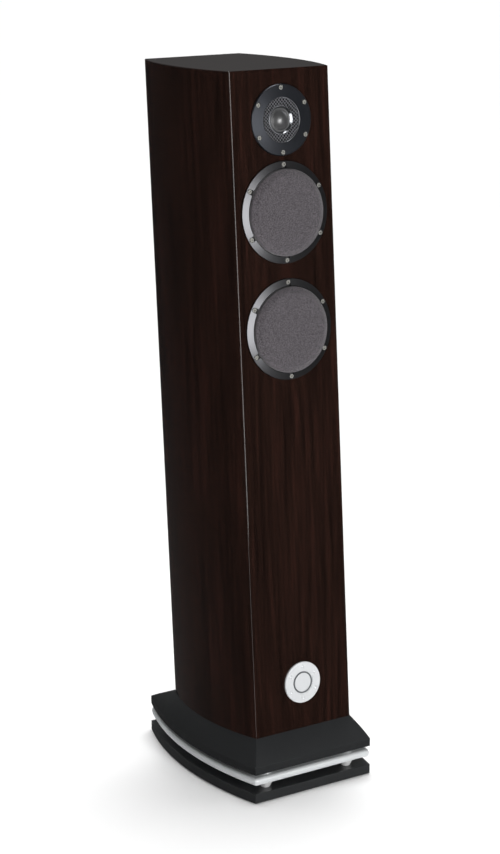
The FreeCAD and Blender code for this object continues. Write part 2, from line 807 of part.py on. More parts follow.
def woofer_spider():
    """Pleated disc that centres the coil, flat where it is glued."""
    inner_flat = coil_radius + 2 * spider_thickness
    outer_flat = basket_radius(spider_level) - basket_wall - spider_ledge_width - spider_thickness
    outer = basket_radius(spider_level) - basket_wall - spider_thickness
    fold = (outer_flat - inner_flat) / spider_fold_count
    top = [(coil_radius, spider_level + spider_thickness), (inner_flat, spider_level + spider_thickness)]
    for step in range(1, spider_fold_count):
        height = spider_fold_height if step % 2 else -spider_fold_height
        top.append((inner_flat + fold * step, spider_level + spider_thickness + height))
    top += [(outer_flat, spider_level + spider_thickness), (outer, spider_level + spider_thickness)]
    bottom = [(radius, height - spider_thickness) for radius, height in reversed(top)]
    return turned(top + bottom)


def woofer_motor_steel():
    """Top plate, and the back plate with its pole."""
    top = basket_floor_bottom
    plate_bottom = top - top_plate_thickness
    gap_outer = coil_radius + coil_winding_thickness + magnet_gap_clearance
    pole_radius = coil_radius - coil_former_thickness - magnet_gap_clearance
    magnet_bottom = plate_bottom - magnet_thickness
    yoke = turned([
        (pole_vent_radius, top), (pole_radius, top), (pole_radius, magnet_bottom),
        (top_plate_radius, magnet_bottom), (top_plate_radius, magnet_bottom - back_plate_thickness),
        (pole_vent_radius, magnet_bottom - back_plate_thickness)])
    return Part.makeCompound([tube(gap_outer, top_plate_radius, plate_bottom, top), yoke])


def woofer_magnet():
    top = basket_floor_bottom - top_plate_thickness
    return tube(magnet_bore_radius, magnet_radius, top - magnet_thickness, top)


def woofer_grille_cloth():
    thickness = grille_cloth_thickness
    bottom = woofer_ledge_level + body_clearance
    return turned([
        (grille_radius - thickness, bottom), (grille_radius, bottom), (grille_radius, grille_shoulder_level),
        (grille_front_radius, grille_front_level), (0, grille_front_level),
        (0, grille_front_level - thickness),
        (grille_front_radius - thickness / 2, grille_front_level - thickness),
        (grille_radius - thickness, grille_shoulder_level - thickness / 2)])


def woofer_grille_frame():
    """Moulded ring with two inner rings and six ribs that hold the cloth out."""
    skin = grille_cloth_thickness + skin_clearance
    bottom = woofer_ledge_level + body_clearance
    outer = grille_radius - skin
    front = grille_front_level - skin
    front_radius = grille_front_radius - skin
    wall = grille_frame_wall
    shoulder = grille_shoulder_level - skin
    inner = surround_outer_radius + body_clearance
    rim = turned([(inner, bottom), (outer, bottom), (outer, shoulder), (front_radius, front),
                  (front_radius - 2 * wall, front), (front_radius - 2 * wall, front - wall),
                  (front_radius - wall, front - wall), (inner, shoulder - wall / 2)])
    back = front - wall
    rings = [tube(radius - grille_rib_width, radius, back, front)
             for radius in (grille_rib_inner_radius, grille_hub_radius)]
    ribs = [radial_window(grille_rib_width, grille_hub_radius - grille_rib_width / 2,
                          front_radius - wall, back, front, step) for step in range(screw_count)]
    return rim.fuse(rings + ribs).removeSplitter()


def woofer_screws():
    seats = circle_places(woofer_screw_circle)
    screws = [placed(screw(woofer_seat_level, screw_length, x, y), on_front(height))
              for height in (upper_woofer_height, lower_woofer_height) for x, y in seats]
    return Part.makeCompound(screws)


def tweeter_faceplate():
    """Flange with the mesh recess, the lip round the dome and the boss for the motor."""
    lip_inner = tweeter_lip_radius - tweeter_lip_width
    ledge_radius = dome_radius + 2 * dome_roll_radius
    seat = ledge_radius + dome_surround_lip + skin_clearance
    plate = turned([
        (tweeter_plate_radius, tweeter_plate_bottom),
        (tweeter_plate_radius, tweeter_plate_top - tweeter_plate_chamfer),
        (tweeter_plate_radius - tweeter_plate_chamfer, tweeter_plate_top),
        (tweeter_recess_radius, tweeter_plate_top), (tweeter_recess_radius, tweeter_recess_floor),
        (tweeter_lip_radius, tweeter_recess_floor),
        (tweeter_lip_radius, tweeter_lip_top - tweeter_lip_width / 4),
        (tweeter_lip_radius - tweeter_lip_width / 4, tweeter_lip_top),
        (lip_inner + tweeter_lip_width / 4, tweeter_lip_top), (seat, dome_level),
        (seat, dome_level - dome_thickness), (ledge_radius, dome_level - dome_thickness),
        (ledge_radius, tweeter_boss_bottom), (tweeter_boss_radius, tweeter_boss_bottom),
        (tweeter_boss_radius, tweeter_plate_bottom)])
    places = circle_places(tweeter_screw_circle)
    cuts = holes(places, tweeter_seat_radius, tweeter_seat_level, tweeter_plate_top)
    cuts += holes(places, screw_shank_radius + screw_hole_clearance,
                  tweeter_plate_bottom, tweeter_seat_level)
    return plate.cut(cuts)


def tweeter_mesh():
    """Dished ring of mesh in the recess round the dome."""
    inner = tweeter_lip_radius + skin_clearance
    outer = tweeter_recess_radius - skin_clearance
    bottom = tweeter_recess_floor
    thickness = tweeter_mesh_thickness
    return turned([(inner, bottom), (outer, bottom + tweeter_mesh_rise),
                   (outer, bottom + tweeter_mesh_rise + thickness), (inner, bottom + thickness)])


def tweeter_surround():
    bottom = dome_level - dome_thickness
    centre = dome_radius + dome_roll_radius
    roll = rolled_edge(centre, bottom + dome_thickness / 2,
                       dome_roll_radius - dome_thickness / 2, dome_thickness)
    lip = tube(centre + dome_roll_radius - dome_thickness, centre + dome_roll_radius + dome_surround_lip,
               bottom, dome_level)
    return roll.fuse(lip).removeSplitter()


def tweeter_dome():
    return dome_shell(dome_radius, dome_rise, dome_thickness, dome_level)


def tweeter_voice_coil():
    return tube(dome_radius - dome_thickness, dome_radius, dome_level - dome_coil_length, dome_level)


def tweeter_motor_levels():
    plate_bottom = tweeter_boss_bottom - tweeter_top_plate_thickness
    magnet_bottom = plate_bottom - tweeter_magnet_thickness
    return plate_bottom, magnet_bottom, magnet_bottom - tweeter_back_plate_thickness


def tweeter_motor_steel():
    plate_bottom, magnet_bottom, back = tweeter_motor_levels()
    pole_radius = dome_radius - dome_thickness - magnet_gap_clearance
    top_plate = tube(dome_radius + magnet_gap_clearance, tweeter_top_plate_radius,
                     plate_bottom, tweeter_boss_bottom)
    yoke = turned([
        (tweeter_vent_radius, tweeter_boss_bottom), (pole_radius, tweeter_boss_bottom),
        (pole_radius, magnet_bottom), (tweeter_top_plate_radius, magnet_bottom),
        (tweeter_top_plate_radius, back), (tweeter_vent_radius, back)])
    return Part.makeCompound([top_plate, yoke])


def tweeter_magnet():
    plate_bottom, magnet_bottom, back = tweeter_motor_levels()
    return tube(tweeter_magnet_bore_radius, tweeter_magnet_radius, magnet_bottom, plate_bottom)


def tweeter_rear_cup():
    """Closed chamber behind the vented pole."""
    plate_bottom, magnet_bottom, back = tweeter_motor_levels()
    bottom = back - rear_cup_depth
    outer = Part.makeCylinder(rear_cup_radius, rear_cup_depth, Vector(0, 0, bottom))
    outer = outer.makeFillet(rear_cup_round, [
        edge for edge in outer.Edges if edge.BoundBox.ZMax < bottom + rear_cup_wall])
    hollow = Part.makeCylinder(rear_cup_radius - rear_cup_wall, rear_cup_depth - rear_cup_wall,
                               Vector(0, 0, bottom + rear_cup_wall))
    return outer.cut(hollow)


def tweeter_screws():
    seats = circle_places(tweeter_screw_circle)
    return Part.makeCompound([screw(tweeter_seat_level, screw_length, x, y) for x, y in seats])


def sealing_gaskets():
    """Foam rings under the drivers and a foam frame under the terminal plate."""
    hole = screw_shank_radius + screw_hole_clearance
    woofer_ring = tube(woofer_cutout_radius, woofer_frame_radius,
                       woofer_frame_bottom - woofer_gasket_thickness, woofer_frame_bottom)
    woofer_ring = woofer_ring.cut(holes(circle_places(woofer_screw_circle), hole,
                                        woofer_frame_bottom - woofer_gasket_thickness, woofer_frame_bottom))
    tweeter_ring = tube(tweeter_cutout_radius, tweeter_plate_radius,
                        tweeter_plate_bottom - tweeter_gasket_thickness, tweeter_plate_bottom)
    tweeter_ring = tweeter_ring.cut(holes(circle_places(tweeter_screw_circle), hole,
                                          tweeter_plate_bottom - tweeter_gasket_thickness,
                                          tweeter_plate_bottom))
    frame_width = terminal_plate_width - 2 * terminal_gasket_inset
    frame_height = terminal_plate_height - 2 * terminal_gasket_inset
    corner = terminal_plate_round - terminal_gasket_inset
    frame = rounded_box(frame_width, frame_height, corner, 0, terminal_gasket_thickness)
    window = Part.makeBox(frame_width - 2 * terminal_gasket_width, frame_height - 2 * terminal_gasket_width,
                          terminal_gasket_thickness)
    window.translate(Vector(terminal_gasket_width - frame_width / 2,
                            terminal_gasket_width - frame_height / 2, 0))
    frame = frame.cut([window] + holes(terminal_screw_places(), hole, 0, terminal_gasket_thickness))
    return Part.makeCompound([
        placed(woofer_ring, on_front(upper_woofer_height)),
        placed(woofer_ring, on_front(lower_woofer_height)),
        placed(tweeter_ring, on_front(tweeter_height)), placed(frame, on_rear(terminal_height))])


def badge():
    """Round metal plate with six dimples and a plain ring in a shallow dish."""
    plate = Part.makeCylinder(badge_radius, badge_thickness)
    plate = plate.makeFillet(badge_edge_round, [edge for edge in plate.Edges
                                                if edge.BoundBox.ZMin > badge_thickness - badge_edge_round])
    sphere_radius = (badge_dimple_radius ** 2 + badge_dimple_depth ** 2) / (2 * badge_dimple_depth)
    centre_level = badge_thickness - badge_dimple_depth + sphere_radius
    dimples = [Part.makeSphere(sphere_radius, Vector(x, y, centre_level))
               for x, y in circle_places(badge_dimple_circle)]
    dish = Part.makeCylinder(badge_dish_radius, badge_dish_depth,
                             Vector(0, 0, badge_thickness - badge_dish_depth))
    ring = tube(badge_ring_radius - badge_ring_width, badge_ring_radius,
                badge_thickness - badge_dish_depth, badge_thickness)
    return plate.cut(dimples + [dish]).fuse(ring).removeSplitter()


def port_tube():
    """Flared reflex tube with a flange let into the rear panel."""
    mouth = port_flange_proud
    flange_bottom = mouth - port_flange_thickness
    flare_bottom = mouth - port_flare_depth
    inner_end = mouth - port_length
    tube_outer = port_bore_radius + port_wall
    flare_middle = (port_bore_radius + port_flare_share * (port_mouth_radius - port_bore_radius),
                    mouth - port_flare_share * port_flare_depth)
    edges = [
        arc_edge((port_mouth_radius, mouth), flare_middle, (port_bore_radius, flare_bottom)),
        line_edge((port_bore_radius, flare_bottom), (port_bore_radius, inner_end)),
        line_edge((port_bore_radius, inner_end), (tube_outer, inner_end)),
        line_edge((tube_outer, inner_end), (tube_outer, flare_bottom)),
        line_edge((tube_outer, flare_bottom), (port_collar_radius, flare_bottom)),
        line_edge((port_collar_radius, flare_bottom), (port_collar_radius, flange_bottom)),
        line_edge((port_collar_radius, flange_bottom), (port_flange_radius, flange_bottom)),
        line_edge((port_flange_radius, flange_bottom), (port_flange_radius, mouth)),
        line_edge((port_flange_radius, mouth), (port_mouth_radius, mouth)),
    ]
    return turned_edges(edges)


def post_places():
    return [(-post_spacing / 2, 0), (post_spacing / 2, 0)]


def terminal_plate():
    plate = rounded_box(terminal_plate_width, terminal_plate_height, terminal_plate_round,
                        terminal_plate_bottom, terminal_plate_top)
    cuts = holes(post_places(), post_radius + post_hole_clearance, terminal_plate_bottom, terminal_plate_top)
    cuts += holes(terminal_screw_places(), screw_shank_radius + screw_hole_clearance,
                  terminal_plate_bottom, terminal_plate_top)
    return plate.cut(cuts)


def terminal_screws():
    return Part.makeCompound([screw(terminal_plate_top, terminal_screw_length, x, y)
                              for x, y in terminal_screw_places()])


def binding_posts():
    """Two sockets with collars on the plate, and the nuts that hold them from inside."""
    pieces = []
    tip = terminal_plate_top + post_reach
    for x, y in post_places():
        stud = Part.makeCylinder(post_radius, tip + post_tail, Vector(x, y, -post_tail))
        collar = Part.makeCylinder(post_collar_radius, post_collar_height, Vector(x, y, terminal_plate_top))
        socket = Part.makeCylinder(socket_radius, socket_depth, Vector(x, y, tip - socket_depth))
        pieces.append(stud.fuse(collar).cut(socket).removeSplitter())
        nut = hexagon(post_nut_width, post_nut_height, x, y, terminal_plate_bottom - post_nut_height)
        bore = Part.makeCylinder(post_radius + screw_thread_clearance, post_nut_height,
                                 Vector(x, y, terminal_plate_bottom - post_nut_height))
        pieces.append(nut.cut(bore))
    return Part.makeCompound(pieces)


def clamp_washer(x):
    washer = tube(thread_bore_radius, washer_radius, washer_bottom, washer_bottom + washer_thickness)
    return washer.translated(Vector(x, 0, 0))


def post_knob(x):
    """Fluted nut that runs on the post and presses on the washer."""
    knob = tube(thread_bore_radius, knob_radius, knob_bottom, knob_bottom + knob_length)
    circle = 2 * (knob_radius + knob_flute_radius / 2)
    flutes = holes(circle_places(circle, knob_flute_count), knob_flute_radius,
                   knob_bottom + washer_thickness, knob_bottom + knob_length)
    return knob.cut(flutes).translated(Vector(x, 0, 0))


def board_front():
    """Front edge of the crossover board, a little in front of the middle of the inside."""
    inside_depth = cabinet_depth - baffle_thickness - rear_thickness
    return baffle_foot + baffle_thickness + (inside_depth - board_length) / 2 - board_forward


def crossover_board():
    front = board_front()
    board = Part.makeBox(board_width, board_length, board_thickness,
                         Vector(-board_width / 2, front, board_bottom))
    x = board_width / 2 - board_spacer_inset
    places = [(side * x, y) for side in (-1, 1)
              for y in (front + board_spacer_inset, front + board_length - board_spacer_inset)]
    spacers = holes(places, board_spacer_radius, board_bottom - board_stand, board_bottom)
    return Part.makeCompound([board] + spacers)


def crossover_coils():
    ring = tube(inductor_bore_radius, inductor_radius, board_top, board_top + inductor_height)
    side = board_width / 4
    front = board_front() + inductor_radius + board_spacer_inset / 2
    places = [(-side, front), (side, front), (-side, front + 2 * inductor_radius + board_spacer_inset)]
    return Part.makeCompound([ring.translated(Vector(x, y, 0)) for x, y in places])


def crossover_capacitors():
    front = board_front() + 2 * inductor_radius + board_spacer_inset + capacitor_radius
    cans = []
    for step in range(2):
        y = front + step * (2 * capacitor_radius + board_spacer_inset / 2)
        start = Vector(board_width / 4 - capacitor_length / 2, y, board_top + capacitor_radius)
        cans.append(Part.makeCylinder(capacitor_radius, capacitor_length, start, Vector(1, 0, 0)))
    return Part.makeCompound(cans)


def crossover_resistors():
    first = board_front() + board_length - board_spacer_inset / 2 - resistor_width
    blocks = []
    for side in (-1, 1):
        corner = Vector(side * board_width / 4 - resistor_length / 2, first, board_top)
        blocks.append(Part.makeBox(resistor_length, resistor_width, resistor_height, corner))
    corner = Vector(board_width / 4 - resistor_length / 2, first - resistor_pitch, board_top)
    blocks.append(Part.makeBox(resistor_length, resistor_width, resistor_height, corner))
    return Part.makeCompound(blocks)


def inside_point(x, depth, height):
    """Point at a depth straight behind the baffle's face and a height along the slope."""
    return Vector(x, baffle_foot, cabinet_floor) + up_slope * height - front_normal * depth


def lead(points):
    """Twin lead: straight runs joined by tangent arcs as large as the runs allow."""
    edges = []
    start = points[0]
    for before, corner, after in zip(points, points[1:], points[2:]):
        incoming = (corner - before)
        outgoing = (after - corner)
        reach = 0.45 * min(incoming.Length, outgoing.Length)
        entry = corner - incoming.normalize() * reach
        leave = corner + outgoing.normalize() * reach
        half_turn = incoming.getAngle(outgoing) / 2
        radius = reach / math.tan(half_turn)
        towards = (outgoing - incoming).normalize()
        middle = corner + towards * (radius / math.cos(half_turn) - radius)
        edges.append(Part.makeLine(start, entry))
        edges.append(Part.Arc(entry, middle, leave).toShape())
        print("lead arc radius", round(radius, 1))
        start = leave
    edges.append(Part.makeLine(start, points[-1]))
    path = Part.Wire(edges)
    direction = points[1] - points[0]
    section = Part.Wire(Part.makeCircle(lead_radius, points[0], direction))
    return path.makePipeShell([section], True, True)


def speaker_leads():
    """Twin leads from the crossover to each driver, and from the posts to the crossover."""
    start_height = (board_top - cabinet_floor) + resistor_height
    motor_depth = top_plate_thickness + magnet_thickness + back_plate_thickness - basket_floor_bottom
    behind_motor = motor_depth + lead_motor_gap
    before_port = cabinet_depth + port_flange_proud - port_length - lead_radius - lead_port_gap
    tag_depth = -basket_floor_bottom - tag_height / 2
    tag_side = max(basket_bottom_radius + tag_reach, magnet_radius) + 2 * lead_radius
    leads = []
    for side, height in ((1, lower_woofer_height), (-1, upper_woofer_height)):
        x = side * (magnet_radius - lead_inset)
        leads.append(lead([
            inside_point(x, behind_motor - lead_set_back, start_height + inductor_height),
            inside_point(x, behind_motor, start_height + 4 * inductor_height),
            inside_point(x, behind_motor, height - magnet_radius),
            inside_point(side * tag_side, tag_depth, height)]))
    leads.append(lead([
        inside_point(lead_radius, before_port, start_height + inductor_height),
        inside_point(0, behind_motor, tweeter_height - lead_drop),
        inside_point(-tweeter_boss_radius, baffle_thickness + 2 * lead_radius, tweeter_height)]))
    for x, y in post_places():
        tail_depth = cabinet_depth * math.cos(lean_angle) - post_tail - lead_radius
        board_side = cabinet_depth - rear_thickness - lead_board_reach
        leads.append(lead([
            inside_point(x, tail_depth, terminal_height),
            inside_point(x, tail_depth - lead_set_back, terminal_height),
            inside_point(x, board_side, start_height + inductor_height)]))
    return Part.makeCompound(leads)


def save_cabinet():
    body = cabinet_body()
    save("front_baffle", front_baffle(body))
    save("left_side_panel", side_panel(body, -1))
    save("right_side_panel", side_panel(body, 1))
    save("rear_panel", rear_panel(body))
    save("top_panel", top_panel(body))
    save("bottom_panel", bottom_panel(body))
    save("window_braces", window_braces(body))
    save("damping_wadding", damping_wadding())
    save("badge", placed(badge(), on_front(badge_height)))


def save_plinth():
    save("plinth_skirt", plinth_skirt())
    save("plinth_bolts", plinth_bolts())
    save("isolation_pucks", isolation_pucks())
    save("middle_plate", middle_plate())
    save("isolation_cones", isolation_cones())
    save("base_plate", base_plate())
    save("floor_pads", floor_pads())


def save_woofers():
    pieces = {
        "basket": woofer_basket(), "surround": woofer_surround(), "spider": woofer_spider(),
        "cone": woofer_cone(), "dust_cap": woofer_dust_cap(), "voice_coil": woofer_voice_coil(),
        "motor_steel": woofer_motor_steel(), "magnet": woofer_magnet(),
        "grille_frame": woofer_grille_frame(), "grille_cloth": woofer_grille_cloth(),
    }
    for side, height in (("upper", upper_woofer_height), ("lower", lower_woofer_height)):
        for piece, shape in pieces.items():
            save(side + "_woofer_" + piece, placed(shape, on_front(height)))
    save("woofer_screws", woofer_screws())
    save("sealing_gaskets", sealing_gaskets())


def save_tweeter():
    pieces = {
        "faceplate": tweeter_faceplate(), "mesh": tweeter_mesh(), "surround": tweeter_surround(),
        "dome": tweeter_dome(), "voice_coil": tweeter_voice_coil(), "motor_steel": tweeter_motor_steel(),
        "magnet": tweeter_magnet(), "rear_cup": tweeter_rear_cup(), "screws": tweeter_screws(),
    }
    for piece, shape in pieces.items():
        save("tweeter_" + piece, placed(shape, on_front(tweeter_height)))


def save_rear():
    terminals = on_rear(terminal_height)
    save("port_tube", placed(port_tube(), on_rear(port_height)))
    save("terminal_plate", placed(terminal_plate(), terminals))
    save("terminal_screws", placed(terminal_screws(), terminals))
    save("binding_posts", placed(binding_posts(), terminals))
    for name, (x, y) in zip(("negative", "positive"), post_places()):
        save(name + "_washer", placed(clamp_washer(x), terminals))
        save(name + "_knob", placed(post_knob(x), terminals))


def save_crossover():
    save("crossover_board", crossover_board())
    save("crossover_coils", crossover_coils())
    save("crossover_capacitors", crossover_capacitors())
    save("crossover_resistors", crossover_resistors())
    save("speaker_leads", speaker_leads())


os.makedirs("parts", exist_ok=True)
save_cabinet()
save_plinth()
save_woofers()
save_tweeter()
save_rear()
save_crossover()
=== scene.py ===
import json
import math
import random

import bmesh
import bpy
from mathutils import Matrix, Vector


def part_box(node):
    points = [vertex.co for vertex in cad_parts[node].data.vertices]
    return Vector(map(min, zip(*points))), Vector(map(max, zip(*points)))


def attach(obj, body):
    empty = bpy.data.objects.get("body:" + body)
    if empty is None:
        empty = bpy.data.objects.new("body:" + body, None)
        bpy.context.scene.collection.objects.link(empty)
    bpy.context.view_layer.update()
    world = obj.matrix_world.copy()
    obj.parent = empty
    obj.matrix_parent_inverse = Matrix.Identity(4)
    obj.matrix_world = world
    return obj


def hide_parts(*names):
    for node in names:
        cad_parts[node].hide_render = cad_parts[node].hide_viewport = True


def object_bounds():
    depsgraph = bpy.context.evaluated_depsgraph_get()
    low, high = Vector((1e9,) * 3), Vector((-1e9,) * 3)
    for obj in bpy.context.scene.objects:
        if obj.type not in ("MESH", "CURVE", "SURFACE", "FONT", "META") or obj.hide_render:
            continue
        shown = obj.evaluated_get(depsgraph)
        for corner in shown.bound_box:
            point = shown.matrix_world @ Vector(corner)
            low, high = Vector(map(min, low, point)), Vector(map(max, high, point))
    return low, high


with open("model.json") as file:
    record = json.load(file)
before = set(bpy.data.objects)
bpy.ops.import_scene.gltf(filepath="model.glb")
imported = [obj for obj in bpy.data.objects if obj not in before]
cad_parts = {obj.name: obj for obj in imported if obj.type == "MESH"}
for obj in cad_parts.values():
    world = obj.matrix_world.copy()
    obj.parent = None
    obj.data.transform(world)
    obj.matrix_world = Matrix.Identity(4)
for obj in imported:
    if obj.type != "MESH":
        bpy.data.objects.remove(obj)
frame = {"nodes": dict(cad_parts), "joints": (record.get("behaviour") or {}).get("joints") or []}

cad_low, cad_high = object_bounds()
millimetre = 0.001

# ---------------------------------------------------------------------------------------------
# Rubber floor pads.
# Turned discs of moulded rubber, pressed into pockets under the base plate; they carry the weight.
# ---------------------------------------------------------------------------------------------


def colour(hex_value):
    """sRGB hex to the linear colour that a socket takes."""
    channels = [int(hex_value[start:start + 2], 16) / 255 for start in (1, 3, 5)]
    linear = [c / 12.92 if c <= 0.04045 else ((c + 0.055) / 1.055) ** 2.4 for c in channels]
    return (*linear, 1.0)


def add_node(tree, kind, settings, links=()):
    """Adds one node, sets its properties or sockets, and links sources to its sockets."""
    node = tree.nodes.new(kind)
    for name, value in settings.items():
        if isinstance(name, str) and hasattr(node, name):
            setattr(node, name, value)
        else:
            node.inputs[name].default_value = value
    for socket, source in links:
        tree.links.new(source, node.inputs[socket])
    return node


def start_material(name, settings):
    """A new material whose shader has these socket values. Returns the material and its shader."""
    material = bpy.data.materials.new(name)
    material.use_nodes = True
    shader = material.node_tree.nodes["Principled BSDF"]
    for socket, value in settings.items():
        shader.inputs[socket].default_value = value
    return material, shader


def finish_node(node, material):
    """Gives a CAD node this material all over."""
    for slot in frame["nodes"][node].material_slots:
        slot.material = material


def object_place(tree, scale, turn=(0, 0, 0), shift=(0, 0, 0)):
    """Object coordinates, turned and shifted, then scaled so that one unit is one pattern step."""
    source = add_node(tree, "ShaderNodeTexCoord", {})
    turned = add_node(tree, "ShaderNodeMapping", {"Rotation": turn, "Location": shift},
                      [("Vector", source.outputs["Object"])])
    scaled = add_node(tree, "ShaderNodeMapping", {"Scale": scale},
                      [("Vector", turned.outputs["Vector"])])
    return scaled.outputs["Vector"]


def steps(size_mm):
    """How many pattern steps of this size fit in a metre."""
    return 1 / (size_mm * millimetre)


def bumped(tree, shader, height, distance_mm, strength):
    """Fine relief in the surface: the distance is the depth of one unit of the height."""
    bump = add_node(tree, "ShaderNodeBump", {"Strength": strength, "Distance": distance_mm * millimetre},
                    [("Height", height)])
    tree.links.new(bump.outputs["Normal"], shader.inputs["Normal"])


def moulded_rubber():
    """Moulded rubber: near black, dull, with the faint grain of its mould."""
    material, shader = start_material("moulded rubber", {
        "Base Color": colour("#161616"), "Roughness": 0.8})
    tree = material.node_tree
    place = object_place(tree, (steps(0.6),) * 3)
    grain = add_node(tree, "ShaderNodeTexNoise", {"Detail": 3.0}, [("Vector", place)])
    bumped(tree, shader, grain.outputs["Fac"], 0.1, 0.4)
    return material


rubber = moulded_rubber()
finish_node("floor_pads", rubber)

# ---------------------------------------------------------------------------------------------
# Base plate and plinth skirt.
# Machined fibreboard, sprayed black, lacquered and polished. The skirt's slopes meet in mitred ridges.
# ---------------------------------------------------------------------------------------------


def black_lacquer(name, body_colour, coat):
    """Polished black lacquer on fibreboard: dark body, clear skin, slight orange peel and dust."""
    material, shader = start_material(name, {
        "Base Color": colour(body_colour), "Roughness": 0.42, "Coat Weight": coat,
        "Coat Roughness": 0.12, "Coat IOR": 1.5, "Specular IOR Level": 0.15})
    tree = material.node_tree
    place = object_place(tree, (steps(5.0),) * 3)
    peel = add_node(tree, "ShaderNodeTexNoise", {"Detail": 2.0}, [("Vector", place)])
    bumped(tree, shader, peel.outputs["Fac"], 0.03, 0.35)
    cloud_place = object_place(tree, (steps(70.0),) * 3)
    cloud = add_node(tree, "ShaderNodeTexNoise", {"Detail": 3.0}, [("Vector", cloud_place)])
    dulled = add_node(tree, "ShaderNodeMapRange", {"To Min": 0.36, "To Max": 0.50},
                      [("Value", cloud.outputs["Fac"])])
    tree.links.new(dulled.outputs["Result"], shader.inputs["Roughness"])
    return material


plate_lacquer = black_lacquer("black lacquer on the base plate", "#2b2c2d", 0.5)
skirt_lacquer = black_lacquer("black lacquer on the skirt", "#252627", 0.35)
finish_node("base_plate", plate_lacquer)
finish_node("plinth_skirt", skirt_lacquer)

# ---------------------------------------------------------------------------------------------
# Cones, pucks and bolts.
# Turned and polished steel. Each cone and puck is clamped on a long M8 bolt put in from below.
# ---------------------------------------------------------------------------------------------


def polished_steel(name, body_colour, metallic, roughness):
    """Turned steel, polished, plated or blackened, with hairline turning marks."""
    material, shader = start_material(name, {
        "Base Color": colour(body_colour), "Metallic": metallic, "Roughness": roughness})
    tree = material.node_tree
    place = object_place(tree, (steps(8.0), steps(8.0), steps(0.35)))
    marks = add_node(tree, "ShaderNodeTexNoise", {"Detail": 2.0}, [("Vector", place)])
    spread = add_node(tree, "ShaderNodeMapRange", {"To Min": roughness * 0.8, "To Max": roughness * 1.3},
                      [("Value", marks.outputs["Fac"])])
    tree.links.new(spread.outputs["Result"], shader.inputs["Roughness"])
    return material


plated_steel = polished_steel("zinc-plated steel", "#bdbcb6", 0.8, 0.24)
satin_steel = polished_steel("satin turned steel", "#f4f4f4", 0.35, 0.2)
dark_steel = polished_steel("blackened steel", "#4a4a4c", 1.0, 0.4)
for node in ("isolation_cones", "isolation_pucks"):
    finish_node(node, satin_steel)
finish_node("plinth_bolts", dark_steel)

# ---------------------------------------------------------------------------------------------
# Middle plate.
# A thick aluminium plate with a rounded rim, bead blasted and clear anodised.
# ---------------------------------------------------------------------------------------------


def anodised_aluminium(name, body_colour, metallic, roughness):
    """Clear anodised, bead-blasted aluminium: pale, even, with a very fine sparkle."""
    material, shader = start_material(name, {
        "Base Color": colour(body_colour), "Metallic": metallic, "Roughness": roughness})
    tree = material.node_tree
    place = object_place(tree, (steps(0.5),) * 3)
    grit = add_node(tree, "ShaderNodeTexNoise", {"Detail": 4.0}, [("Vector", place)])
    bumped(tree, shader, grit.outputs["Fac"], 0.02, 0.3)
    return material


plate_aluminium = anodised_aluminium("anodised aluminium plate", "#dfe2e3", 0.25, 0.3)
finish_node("middle_plate", plate_aluminium)

# ---------------------------------------------------------------------------------------------
# Cabinet panels.
# Fibreboard and bent plywood faced with dark stained veneer, the grain running up the lean, under
# several coats of clear gloss lacquer that is rubbed flat.
# ---------------------------------------------------------------------------------------------

stroke = next(joint for joint in frame["joints"] if joint["name"] == "upper_woofer_stroke")
straight_out = Vector(stroke["axis"]).normalized()
sideways = Vector((1, 0, 0))
up_slope = straight_out.cross(sideways)
lean = math.atan2(up_slope.y, up_slope.z)
upright = (lean, 0, 0)


